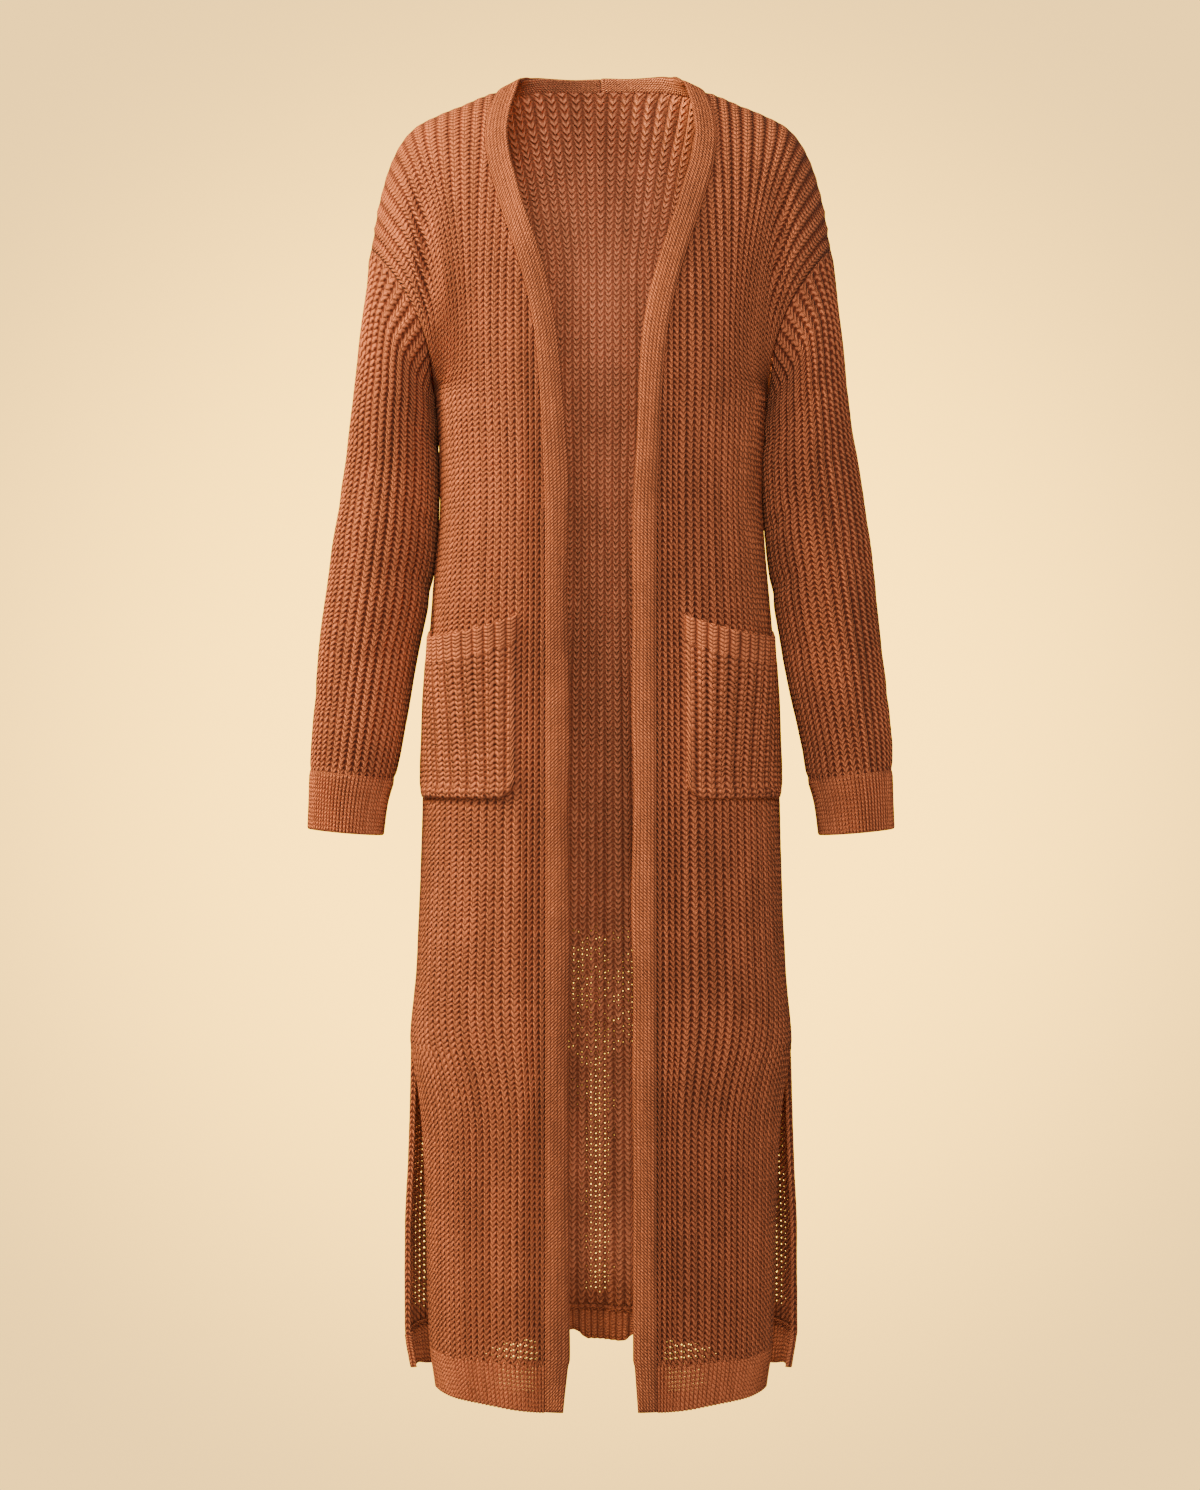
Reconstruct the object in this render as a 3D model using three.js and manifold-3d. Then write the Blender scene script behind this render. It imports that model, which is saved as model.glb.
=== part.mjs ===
// A long open-front rib-knit cardigan, worn and hollow, in millimetres.
// +X is the wearer's left, the front faces -Y, +Z is up. The origin is midway between the two high shoulder points.
import * as THREE from "three";
import { mergeVertices } from "three/addons/utils/BufferGeometryUtils.js";
import Module from "manifold-3d";

// ---- driving dimensions ----
const WALL = 2.4; // cloth between two ribs
const RIB = 1.6; // how far a rib stands over it
const COVER = WALL + RIB; // from the inside of the cloth to the top of its ribs
const GAP = 0.4; // clear space at every seam
const SEAM_STEP = 0.65; // how far each side stands back from the curved armhole seam
const HEM_Z = { front: -1171, back: -1161 }; // lower edges at the middle; they run up or down by a few mm towards the sides
const SLIT_Z = -866; // where the side seams end and the slits start
const UNDERARM_Z = -285; // lowest point of the armholes
const ARMHOLE = { tipX: 208, tipZ: -157, footX: 149.6, halfDepth: 62 };
const FRONT_RIBS = 24, BACK_RIBS = 56, SLEEVE_RIBS = 34;
const BAND = { width: 21, thick: 4.6 };
const POCKET = { first: 4, last: 20, bottomZ: -647, mouthOuterZ: -503, mouthRise: 13, trim: 21, thick: 2.6, gape: 19, corner: 12 };

// Body sections, outer size: half width of front and back, depth of each, and how square the section is.
const BODY = [
  { z: 20, halfFront: 205, halfBack: 205, front: 92, back: 96, square: 2.4 },
  { z: -60, halfFront: 205, halfBack: 205, front: 98, back: 104, square: 2.4 },
  { z: -160, halfFront: 180, halfBack: 180, front: 108, back: 112, square: 2.4 },
  { z: -285, halfFront: 149, halfBack: 149, front: 117, back: 108, square: 2.4 },
  { z: -380, halfFront: 144.5, halfBack: 144.5, front: 113, back: 98, square: 2.4 },
  { z: -465, halfFront: 151, halfBack: 151, front: 110, back: 96, square: 2.4 },
  { z: -560, halfFront: 158, halfBack: 158, front: 112, back: 106, square: 2.5 },
  { z: -700, halfFront: 161.5, halfBack: 161.5, front: 115, back: 116, square: 2.5 },
  { z: -800, halfFront: 165.5, halfBack: 165.5, front: 118, back: 119, square: 2.5 },
  { z: -866, halfFront: 171, halfBack: 171, front: 120, back: 120, square: 2.5 },
  { z: -905, halfFront: 167.5, halfBack: 172, front: 121, back: 121, square: 2.5 },
  { z: -970, halfFront: 161, halfBack: 174, front: 122, back: 122, square: 2.5 },
  { z: -1050, halfFront: 158, halfBack: 177, front: 124, back: 124, square: 2.5 },
  { z: -1125, halfFront: 155.5, halfBack: 177, front: 125, back: 125, square: 2.5 },
  { z: -1171, halfFront: 151, halfBack: 170, front: 125, back: 125, square: 2.5 },
];
// Free side edge of a front panel beside the slit.
const SLIT_EDGE = [
  { z: -866, x: 171 }, { z: -905, x: 166.8 }, { z: -970, x: 159.5 }, { z: -1050, x: 156 }, { z: -1130, x: 152.5 }, { z: -1171, x: 147 },
];
// Shoulder ridge, from over the neck to the dropped armhole.
const RIDGE = [
  { x: 0, z: 31 }, { x: 36, z: 25 }, { x: 66, z: 13 }, { x: 84, z: -6 }, { x: 90, z: -12.5 }, { x: 99, z: -15 }, { x: 113, z: -20.5 }, { x: 125, z: -26 },
  { x: 139, z: -31.5 }, { x: 151, z: -37 }, { x: 162, z: -42.5 }, { x: 170, z: -48.5 }, { x: 178, z: -57.5 }, { x: 184.5, z: -68 }, { x: 191.5, z: -84 },
  { x: 197, z: -102 }, { x: 201.5, z: -120 }, { x: 204.5, z: -138 }, { x: 208, z: -157 },
];
// Seam between the band and the front, from the hem up to the high shoulder.
const FRONT_SEAM = [
  { z: -1171, x: 48 }, { z: -1040, x: 48 }, { z: -900, x: 48 }, { z: -760, x: 48 }, { z: -620, x: 48 }, { z: -500, x: 48 }, { z: -400, x: 48.5 },
  { z: -330, x: 51 }, { z: -285, x: 53.5 }, { z: -249, x: 57 }, { z: -220, x: 62 }, { z: -194, x: 68.5 }, { z: -166, x: 77 }, { z: -140, x: 85.5 },
  { z: -115, x: 93 }, { z: -92, x: 99 }, { z: -67, x: 102 }, { z: -47, x: 100.5 }, { z: -30, x: 96.5 }, { z: -19, x: 92.5 },
];
// Seam between the band and the back neck, with the way the band stands up from it.
const NECK = [
  { x: 90, y: 0, z: -17, ux: -0.88, uy: 0, uz: 0.47 }, { x: 87.5, y: 13, z: -16, ux: -0.86, uy: -0.1, uz: 0.5 },
  { x: 81.5, y: 26, z: -14, ux: -0.74, uy: -0.22, uz: 0.62 }, { x: 72, y: 38, z: -11.5, ux: -0.55, uy: -0.3, uz: 0.76 },
  { x: 58, y: 47, z: -9, ux: -0.38, uy: -0.34, uz: 0.86 }, { x: 40, y: 54, z: -8, ux: -0.22, uy: -0.36, uz: 0.91 },
  { x: 20, y: 58, z: -7.5, ux: -0.1, uy: -0.37, uz: 0.92 }, { x: 0, y: 59, z: -7.2, ux: 0, uy: -0.38, uz: 0.92 },
];
// Sleeve rings, outer size: middle, half width and depth, and how much higher the outer side is than the middle.
const SLEEVE = [
  { z: -250, x: 181.2, y: 1, half: 31, depth: 63, rise: 50 }, { z: -300, x: 184.8, y: 2, half: 36.9, depth: 61, rise: 24 },
  { z: -380, x: 190.3, y: 3, half: 44.3, depth: 56, rise: 12 }, { z: -461, x: 199.8, y: 0, half: 46, depth: 52, rise: 6 },
  { z: -545, x: 212, y: -6, half: 43, depth: 48, rise: 5 }, { z: -627.6, x: 222.5, y: -15, half: 38.2, depth: 41, rise: 4 },
];
const CUFF = [
  { z: -628.4, x: 222.6, y: -15, half: 37.6, depth: 40, rise: 4 }, { z: -650, x: 225.5, y: -18, half: 35.6, depth: 37.5, rise: 3 },
  { z: -677, x: 227.5, y: -21, half: 34, depth: 36, rise: 3 },
];
// Soft upright folds of the back, pushed inwards where depth is positive.
const BACK_FOLDS = [
  { x: 10, lean: 12, half: 15, depth: 11, top: -420, full: -760 }, { x: -42, lean: -6, half: 26, depth: -4, top: -500, full: -900 },
  { x: 74, lean: 8, half: 26, depth: 5, top: -600, full: -950 }, { x: -100, lean: -8, half: 24, depth: 4, top: -650, full: -1000 },
];
const FRONT_FOLDS = [
  { x: 92, lean: 4, half: 20, depth: 3, top: -680, full: -1000 }, { x: 124, lean: 6, half: 16, depth: -3, top: -700, full: -1050 },
];
// Crease between chest and upper arm.
const CREASE = [{ z: -265, x: 146, depth: 0 }, { z: -225, x: 150, depth: 5 }, { z: -180, x: 152, depth: 10 }, { z: -140, x: 156, depth: 8 }, { z: -95, x: 161, depth: 0 }];
// Rows of the panels: heights below the underarm, then shares of the way up to the shoulder.
const LOW_ROWS = [-1132.6, -1040, -930, SLIT_Z, -740, -600, -480, -380, -305];
const HIGH_ROWS = [0, 0.14, 0.32, 0.54, 0.76, 0.93, 1];

const RUST = new THREE.MeshStandardMaterial({ name: "rust_rib_knit", color: 0xa85a30, roughness: 0.95, metalness: 0, side: THREE.DoubleSide });
const RUST_DENSE = new THREE.MeshStandardMaterial({ name: "rust_dense_knit", color: 0xa0532c, roughness: 0.93, metalness: 0, side: THREE.DoubleSide });

// ---- small helpers ----
const mix = (a, b, t) => a + (b - a) * t;
const clamp01 = (t) => Math.min(1, Math.max(0, t));
const smooth = (t) => { t = clamp01(t); return t * t * (3 - 2 * t); };
const V = (x, y, z) => new THREE.Vector3(x, y, z);

// Value of a table's field at q of its key column, on a smooth curve that never overshoots its rows.
function at(rows, key, field, q) {
  const up = rows[rows.length - 1][key] > rows[0][key];
  const r = up ? rows : [...rows].reverse();
  if (q <= r[0][key]) return r[0][field];
  if (q >= r[r.length - 1][key]) return r[r.length - 1][field];
  let i = 0;
  while (q > r[i + 1][key]) i++;
  const slope = (k) => (k < 0 || k >= r.length - 1 ? null : (r[k + 1][field] - r[k][field]) / (r[k + 1][key] - r[k][key]));
  const tangent = (k) => {
    const a = slope(k - 1), b = slope(k);
    if (a === null) return b;
    if (b === null) return a;
    return a * b <= 0 ? 0 : (2 * a * b) / (a + b);
  };
  const h = r[i + 1][key] - r[i][key], t = (q - r[i][key]) / h;
  const t2 = t * t, t3 = t2 * t;
  return (2 * t3 - 3 * t2 + 1) * r[i][field] + (t3 - 2 * t2 + t) * h * tangent(i) + (3 * t2 - 2 * t3) * r[i + 1][field] + (t3 - t2) * h * tangent(i + 1);
}

// ---- armhole: a curved seam surface x = seamX(z), the loop on it, and its outward direction ----
const armMid = (ARMHOLE.tipZ + UNDERARM_Z) / 2, armHalf = (ARMHOLE.tipZ - UNDERARM_Z) / 2;
const seamX = (z) => ARMHOLE.footX + (ARMHOLE.tipX - ARMHOLE.footX) * ((z - UNDERARM_Z) / (2 * armHalf)) ** 2;
const seamSlope = (z) => (2 * (ARMHOLE.tipX - ARMHOLE.footX) * (z - UNDERARM_Z)) / (2 * armHalf) ** 2;
function loopPoint(angle, shift) { // angle 0 at the shoulder tip, a quarter turn at the front
  const z = armMid + armHalf * Math.cos(angle);
  return V(seamX(z) + shift, -ARMHOLE.halfDepth * Math.sin(angle), z);
}
function loopOut(angle) {
  const z = armMid + armHalf * Math.cos(angle), up = V(seamSlope(z), 0, 1).normalize();
  return up.multiplyScalar(Math.cos(angle)).add(V(0, -Math.sin(angle), 0)).normalize();
}

// ---- body surface over the ribs, as a depth from the middle plane ----
const squared = (share, n) => Math.max(0, 1 - Math.abs(share) ** n) ** (1 / n);
function folds(rows, x, z) {
  let sum = 0;
  for (const f of rows) {
    const on = smooth((f.top - z) / (f.top - f.full)), mid = f.x + (f.lean * (f.top - z)) / (f.top - HEM_Z.back);
    sum += f.depth * on * Math.exp(-(((x - mid) / f.half) ** 2));
  }
  return sum;
}
const shoulderFall = (x, z, face) => {
  const reach = face === "front" ? mix(190, 140, smooth((x - 100) / 80)) : 130;
  const k = clamp01((at(RIDGE, "x", "z", x) - z) / reach);
  return Math.sqrt(1 - (1 - k) ** 2);
};
const depthOf = (z, face) => at(BODY, "z", face, z);
const halfOf = (z, face) => at(BODY, "z", face === "front" ? "halfFront" : "halfBack", z);

// One level of a panel as a fine curve from its inner side to its outer side; level is a height, or the share of the way up when 0 to 1.
function levelCurve(face, level, innerX, topZ) {
  const high = level >= 0, count = 90, line = [];
  let half, endX, angle = 0;
  if (high) {
    const z = mix(UNDERARM_Z, ARMHOLE.tipZ, level);
    angle = Math.acos(Math.min(1, Math.max(-1, (z - armMid) / armHalf)));
    endX = seamX(z);
    const n = at(BODY, "z", "square", z), full = depthOf(z, face) * Math.max(0.02, shoulderFall(endX, z, face));
    const share = Math.min(0.995, (ARMHOLE.halfDepth * Math.sin(angle)) / full);
    half = level >= 1 ? endX * 1.1 : endX / Math.max(0.05, (1 - share ** n) ** (1 / n));
  } else {
    half = halfOf(level, face);
    endX = face === "front" && level < SLIT_Z ? Math.min(half, at(SLIT_EDGE, "z", "x", level)) : half;
  }
  const nAt = (z) => at(BODY, "z", "square", z), n0 = nAt(high ? mix(UNDERARM_Z, ARMHOLE.tipZ, level) : level);
  const a0 = Math.asin(Math.min(1, (innerX / half) ** (n0 / 2))), a1 = Math.asin(Math.min(1, (endX / half) ** (n0 / 2)));
  for (let k = 0; k <= count; k++) {
    const x = Math.min(endX, half * Math.sin(mix(a0, a1, k / count)) ** (2 / n0));
    let z = level, y;
    if (high) {
      const top = topZ(x);
      const edgeZ = mix(UNDERARM_Z, ARMHOLE.tipZ, level); // rows bend down to meet the armhole
      z = mix(mix(UNDERARM_Z, top, level), edgeZ, k === count ? 1 : smooth((x - endX + 45) / 45) * (1 - level ** 8));
      const fall = shoulderFall(x, z, face);
      y = depthOf(z, face) * squared(x / half, nAt(z)) * fall;
      const dip = at(CREASE, "z", "depth", z);
      if (z > -265 && z < -95) y -= dip * Math.exp(-(((x - at(CREASE, "z", "x", z)) / 9) ** 2)) * smooth((endX - x) / 14);
      if (k === count) y = ARMHOLE.halfDepth * Math.sin(angle);
    } else {
      y = depthOf(z, face) * squared(x / half, n0);
    }
    line.push(V(x, y, z));
  }
  return { line, angle };
}
function spread(line) { // length along the curve to each of its points
  const s = [0];
  for (let k = 1; k < line.length; k++) s.push(s[k - 1] + line[k].distanceTo(line[k - 1]));
  return s;
}
function pointAt(line, s, length) {
  if (length >= s[s.length - 1]) return line[line.length - 1].clone();
  let k = 0;
  while (s[k + 1] < length) k++;
  return line[k].clone().lerp(line[k + 1], (length - s[k]) / Math.max(1e-9, s[k + 1] - s[k]));
}
// Columns of half a panel: even at the chest; the extra width of the shoulder goes to all of the back's, and to the front's outer ones, and the outer ones also take up any lack.
const chestLength = {};
function levelPoints(face, level, innerX, topZ, count) {
  const { line, angle } = levelCurve(face, level, innerX, topZ), s = spread(line), total = s[s.length - 1], out = [];
  if (!(face in chestLength)) {
    const c = spread(levelCurve(face, 0, innerX, topZ).line);
    chestLength[face] = c[c.length - 1];
  }
  for (let i = 0; i <= count; i++) {
    const u = i / count, base = chestLength[face] * u;
    const fan = face === "front" ? clamp01((u - 0.28) / 0.72) ** 1.5 : total < chestLength[face] ? clamp01((u - 0.5) / 0.5) ** 2 : u;
    const length = level >= 0 ? base + (total - chestLength[face]) * fan : total * u;
    out.push(i === count ? line[line.length - 1].clone() : pointAt(line, s, length));
  }
  return { out, angle };
}

// ---- walls: a grid of points over the ribs and their outward directions becomes one closed solid ----
// top[j][i] and out[j][i] run over rows j and columns i; columns are two to a rib, with the rib's top on the odd ones.
function wall(top, out, { thick = WALL, rib = RIB, loop = false } = {}) {
  const rows = top.length, cols = top[0].length, position = [], index = [];
  const half = (cols + 1) >> 1, innerCols = loop ? cols / 2 : half;
  const put = (p) => { position.push(p.x, p.y, p.z); return position.length / 3 - 1; };
  const O = [], I = [];
  for (let j = 0; j < rows; j++) {
    O.push([]); I.push([]);
    for (let i = 0; i < cols; i++) {
      O[j].push(put(top[j][i].clone().addScaledVector(out[j][i], i % 2 ? 0 : -rib)));
    }
    for (let i = 0; i < innerCols; i++) I[j].push(put(top[j][2 * i].clone().addScaledVector(out[j][2 * i], -thick - rib)));
  }
  const tri = (a, b, c) => index.push(a, b, c);
  const nextO = (i) => (loop ? (i + 1) % cols : i + 1), nextI = (i) => (loop ? (i + 1) % innerCols : i + 1);
  const spansO = loop ? cols : cols - 1, spansI = loop ? innerCols : innerCols - 1;
  for (let j = 0; j + 1 < rows; j++) {
    for (let i = 0; i < spansO; i++) {
      const a = O[j][i], b = O[j][nextO(i)], c = O[j + 1][nextO(i)], d = O[j + 1][i];
      if (i % 2) { tri(a, b, d); tri(b, c, d); } else { tri(a, b, c); tri(a, c, d); }
    }
    for (let i = 0; i < spansI; i++) {
      const a = I[j][i], b = I[j][nextI(i)], c = I[j + 1][nextI(i)], d = I[j + 1][i];
      tri(a, c, b); tri(a, d, c);
    }
  }
  for (const [j, turn] of [[0, false], [rows - 1, true]]) {
    for (let i = 0; i < spansI; i++) {
      const a = O[j][2 * i], b = O[j][2 * i + 1], c = O[j][nextO(2 * i + 1)], p = I[j][i], q = I[j][nextI(i)];
      for (const t of [[a, p, b], [b, p, q], [b, q, c]]) turn ? tri(t[0], t[2], t[1]) : tri(...t);
    }
  }
  if (!loop)
    for (let j = 0; j + 1 < rows; j++) {
      const a = O[j][0], b = O[j + 1][0], p = I[j][0], q = I[j + 1][0];
      tri(a, b, p); tri(b, q, p);
      const c = O[j][cols - 1], d = O[j + 1][cols - 1], r = I[j][innerCols - 1], s = I[j + 1][innerCols - 1];
      tri(c, r, d); tri(d, r, s);
    }
  const g = new THREE.BufferGeometry();
  g.setAttribute("position", new THREE.Float32BufferAttribute(position, 3));
  g.setIndex(index);
  return g;
}
// Outward directions of a grid from its neighbours; sign says which way is out.
function directions(grid, loop, sign) {
  const rows = grid.length, cols = grid[0].length;
  return grid.map((row, j) => row.map((p, i) => {
    const l = loop ? grid[j][(i + cols - 1) % cols] : grid[j][Math.max(0, i - 1)], r = loop ? grid[j][(i + 1) % cols] : grid[j][Math.min(cols - 1, i + 1)];
    const d = grid[Math.max(0, j - 1)][i], u = grid[Math.min(rows - 1, j + 1)][i];
    const n = r.clone().sub(l).cross(u.clone().sub(d));
    return n.lengthSq() < 1e-12 ? V(0, 0, 1) : n.normalize().multiplyScalar(sign);
  }));
}
// Directions made level, so that a row at a straight seam stays in its plane.
function level(row) {
  for (const d of row) { d.z = 0; d.normalize(); }
  return row;
}
function mirrored(g) { // the same solid on the other side of the middle plane
  const m = g.clone(), p = m.attributes.position, ix = m.index.array.slice();
  for (let i = 0; i < p.count; i++) p.setX(i, -p.getX(i));
  for (let i = 0; i < ix.length; i += 3) [ix[i + 1], ix[i + 2]] = [ix[i + 2], ix[i + 1]];
  m.setIndex([...ix]);
  return m;
}

// ---- front and back panels ----
const ridgeOut = (x) => { const s = (at(RIDGE, "x", "z", x + 1) - at(RIDGE, "x", "z", x - 1)) / 2; return V(-s, 0, 1).normalize(); };
const neckZ = (x) => (x >= 90 ? at(RIDGE, "x", "z", x) : at(NECK, "x", "z", x));
const ridgeZ = (x) => at(RIDGE, "x", "z", x);

// Half of a body panel on the +X side; face picks the side, rows are heights then shares.
function halfPanel(face, innerX, lows, highs, count, topZ) {
  const sign = face === "front" ? -1 : 1, grid = [], edge = [];
  for (const level of [...lows, ...highs]) {
    const { out, angle } = levelPoints(face, level, typeof innerX === "function" ? innerX(level) : innerX, topZ, count);
    const high = level >= 0;
    out.forEach((p, i) => {
      if (!high || level < 0.3) p.y -= folds(face === "front" ? FRONT_FOLDS : BACK_FOLDS, p.x, p.z) * (high ? 0 : 1);
      p.y *= sign;
      const end = i === count;
      if (high && end) p.x -= SEAM_STEP;
      if ((high && level >= 1 && p.x > 88) || (end && (level >= SLIT_Z - 1 || high) && Math.abs(p.y) < GAP / 2)) p.y = (sign * GAP) / 2;
    });
    grid.push(out);
    edge.push(high ? angle : null);
  }
  return { grid, edge };
}
function panelOut(grid, edge, face, whole) {
  const sign = face === "front" ? 1 : -1, out = directions(grid, false, sign), last = grid[0].length - 1, lowCount = edge.filter((e) => e === null).length;
  grid.forEach((row, j) => {
    const fix = (i, mirrorX) => {
      let d;
      if (edge[j] !== null) { d = loopOut(face === "front" ? edge[j] : -edge[j]); d.x *= 1; if (j === grid.length - 1) d = loopOut(0); if (j === lowCount) d = loopOut(Math.PI); }
      else if (row[i].z >= SLIT_Z - 1) { const n = out[j][i].clone(); n.y = 0; d = n.normalize(); d = V(mirrorX ? -Math.abs(d.x) : Math.abs(d.x), 0, d.z); }
      else return;
      if (mirrorX && edge[j] !== null) d.x = -d.x;
      out[j][i] = d;
    };
    fix(last, false);
    if (whole) fix(0, true);
  });
  const top = grid.length - 1;
  level(out[0]);
  if (!whole) out.forEach((row) => { row[0].x = 0; row[0].normalize(); });
  grid[top].forEach((p, i) => {
    const ax = Math.abs(p.x);
    if (i === last || (whole && i === 0)) return;
    if (ax >= (whole ? 89.5 : 40)) { const d = ridgeOut(ax); out[top][i] = V(Math.sign(p.x) * d.x, 0, d.z); }
  });
  return out;
}

const wasm = await Module();
wasm.setup();
function solid(g) {
  const c = g.clone();
  for (const a of ["normal", "uv"]) c.deleteAttribute(a);
  const m = mergeVertices(c, 1e-4);
  return new wasm.Manifold(new wasm.Mesh({ numProp: 3, vertProperties: new Float32Array(m.attributes.position.array), triVerts: new Uint32Array(m.index.array) }));
}
function geometryOf(s) {
  const m = s.getMesh(), g = new THREE.BufferGeometry();
  g.setAttribute("position", new THREE.Float32BufferAttribute(Array.from(m.vertProperties), 3));
  g.setIndex(Array.from(m.triVerts));
  return g;
}

// Front panel (+X side): the full grid up to the shoulder, with the V cut away along the band's seam.
const frontInner = (level) => (level < 0 && level > -400 ? 48 + GAP : level < 0 ? at(FRONT_SEAM, "z", "x", level) + GAP : 48 + GAP);
const front = halfPanel("front", frontInner, LOW_ROWS, HIGH_ROWS, 2 * FRONT_RIBS, ridgeZ);
const frontOut = panelOut(front.grid, front.edge, "front", false);
const vCutter = (() => {
  const line = FRONT_SEAM.filter((r) => r.z > -400.5).map((r) => [r.x + GAP, r.z]);
  const poly = [[20, line[0][1] - 40], [48 + GAP - 0.2, line[0][1] - 40], ...line, [90 + GAP, -12], [90 + GAP, 60], [20, 60]];
  return new wasm.CrossSection([poly]).extrude(180).rotate([90, 0, 0]).translate([0, 20, 0]);
})();
const frontGeometry = geometryOf(solid(wall(front.grid, frontOut)).subtract(vCutter));

// Back panel: both halves of the grid.
const backHalf = halfPanel("back", 0, LOW_ROWS, HIGH_ROWS, BACK_RIBS, neckZ);
const backGrid = backHalf.grid.map((row, j) => {
  const full = [...row.slice(1).reverse().map((p) => V(-p.x, p.y, p.z)), ...row];
  if (j === backHalf.grid.length - 1) for (const p of full) if (Math.abs(p.x) < 90) { p.y = at(NECK, "x", "y", Math.abs(p.x)); p.z = at(NECK, "x", "z", Math.abs(p.x)); }
  if (backHalf.edge[j] === null)
    for (const p of full) if (p.x < 0) p.y += folds(BACK_FOLDS, -p.x, p.z) - folds(BACK_FOLDS, p.x, p.z);
  return full;
});
const backOut = panelOut(backGrid, backHalf.edge, "back", true);
backGrid[backGrid.length - 1].forEach((p, i) => {
  const ax = Math.abs(p.x);
  if (ax < 89.5) {
    const up = V(Math.sign(p.x) * at(NECK, "x", "ux", ax), at(NECK, "x", "uy", ax), at(NECK, "x", "uz", ax)).normalize();
    const along = V(1, Math.sign(p.x || 1) * (at(NECK, "x", "y", ax + 1) - at(NECK, "x", "y", Math.abs(ax - 1))) / 2, 0).normalize();
    backOut[backGrid.length - 1][i] = up.clone().cross(along).normalize().multiplyScalar(up.clone().cross(along).y > 0 ? 1 : -1);
    const d = backOut[backGrid.length - 1][i];
    p.addScaledVector(up, -GAP).addScaledVector(d, COVER);
    p.y = Math.max(p.y, GAP / 2 + COVER * Math.max(0, d.y));
  }
});
const backGeometry = wall(backGrid, backOut);

// ---- hem ribs, a finer rib under each panel ----
const hemRows = (face) => [HEM_Z[face], LOW_ROWS[0] - GAP];
const hemLift = (face, x) => (face === "front" ? 4 * smooth((x - 60) / 80) : -5 * smooth((Math.abs(x) - 60) / 100));
const liftHem = (grid, face) => grid[0].forEach((p) => { p.z += hemLift(face, p.x); });
const frontHem = halfPanel("front", frontInner, hemRows("front"), [], 2 * FRONT_RIBS, ridgeZ);
const hemOut = (grid, sign) => {
  const out = directions(grid, false, sign).map(level);
  if (sign > 0) for (const row of out) { row[0].x = 0; row[0].normalize(); }
  return out;
};
liftHem(frontHem.grid, "front");
const frontHemGeometry = wall(frontHem.grid, hemOut(frontHem.grid, 1), { rib: 1.1 });
const backHemHalf = halfPanel("back", 0, hemRows("back"), [], BACK_RIBS, neckZ);
const backHemGrid = backHemHalf.grid.map((row) => {
  const full = [...row.slice(1).reverse().map((p) => V(-p.x, p.y, p.z)), ...row];
  for (const p of full) if (p.x < 0) p.y += folds(BACK_FOLDS, -p.x, p.z) - folds(BACK_FOLDS, p.x, p.z);
  return full;
});
liftHem(backHemGrid, "back");
const backHemGeometry = wall(backHemGrid, hemOut(backHemGrid, -1), { rib: 1.1 });

// ---- sleeves and cuffs ----
function ringPoints(r, count) {
  const out = [];
  for (let i = 0; i < count; i++) {
    const a = (2 * Math.PI * i) / count, c = Math.cos(a), s = Math.sin(a);
    out.push(V(r.x + r.half * c, r.y - r.depth * s, r.z + r.rise * c));
  }
  return out;
}
// Directions kept in the plane of a tilted ring.
function ringOut(row, r) {
  const up = V(-r.rise / r.half, 0, 1).normalize();
  for (const d of row) d.addScaledVector(up, -d.dot(up)).normalize();
}
function sleeveWall() {
  const count = 2 * SLEEVE_RIBS, first = [], firstOut = [];
  for (let i = 0; i < count; i++) { const a = (2 * Math.PI * i) / count; first.push(loopPoint(a, SEAM_STEP - 0.2)); firstOut.push(loopOut(a)); }
  const grid = [...SLEEVE.map((r) => ringPoints(r, count)).reverse(), first], out = directions(grid, true, -1);
  out[out.length - 1] = firstOut;
  ringOut(out[0], SLEEVE[SLEEVE.length - 1]);
  return wall(grid, out, { loop: true });
}
const sleeveGeometry = sleeveWall();
const cuffGrid = CUFF.map((r) => ringPoints(r, 2 * SLEEVE_RIBS)).reverse();
const cuffOut = directions(cuffGrid, true, -1);
ringOut(cuffOut[cuffGrid.length - 1], CUFF[0]);
const cuffGeometry = wall(cuffGrid, cuffOut, { loop: true, rib: 1.2 });

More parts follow.
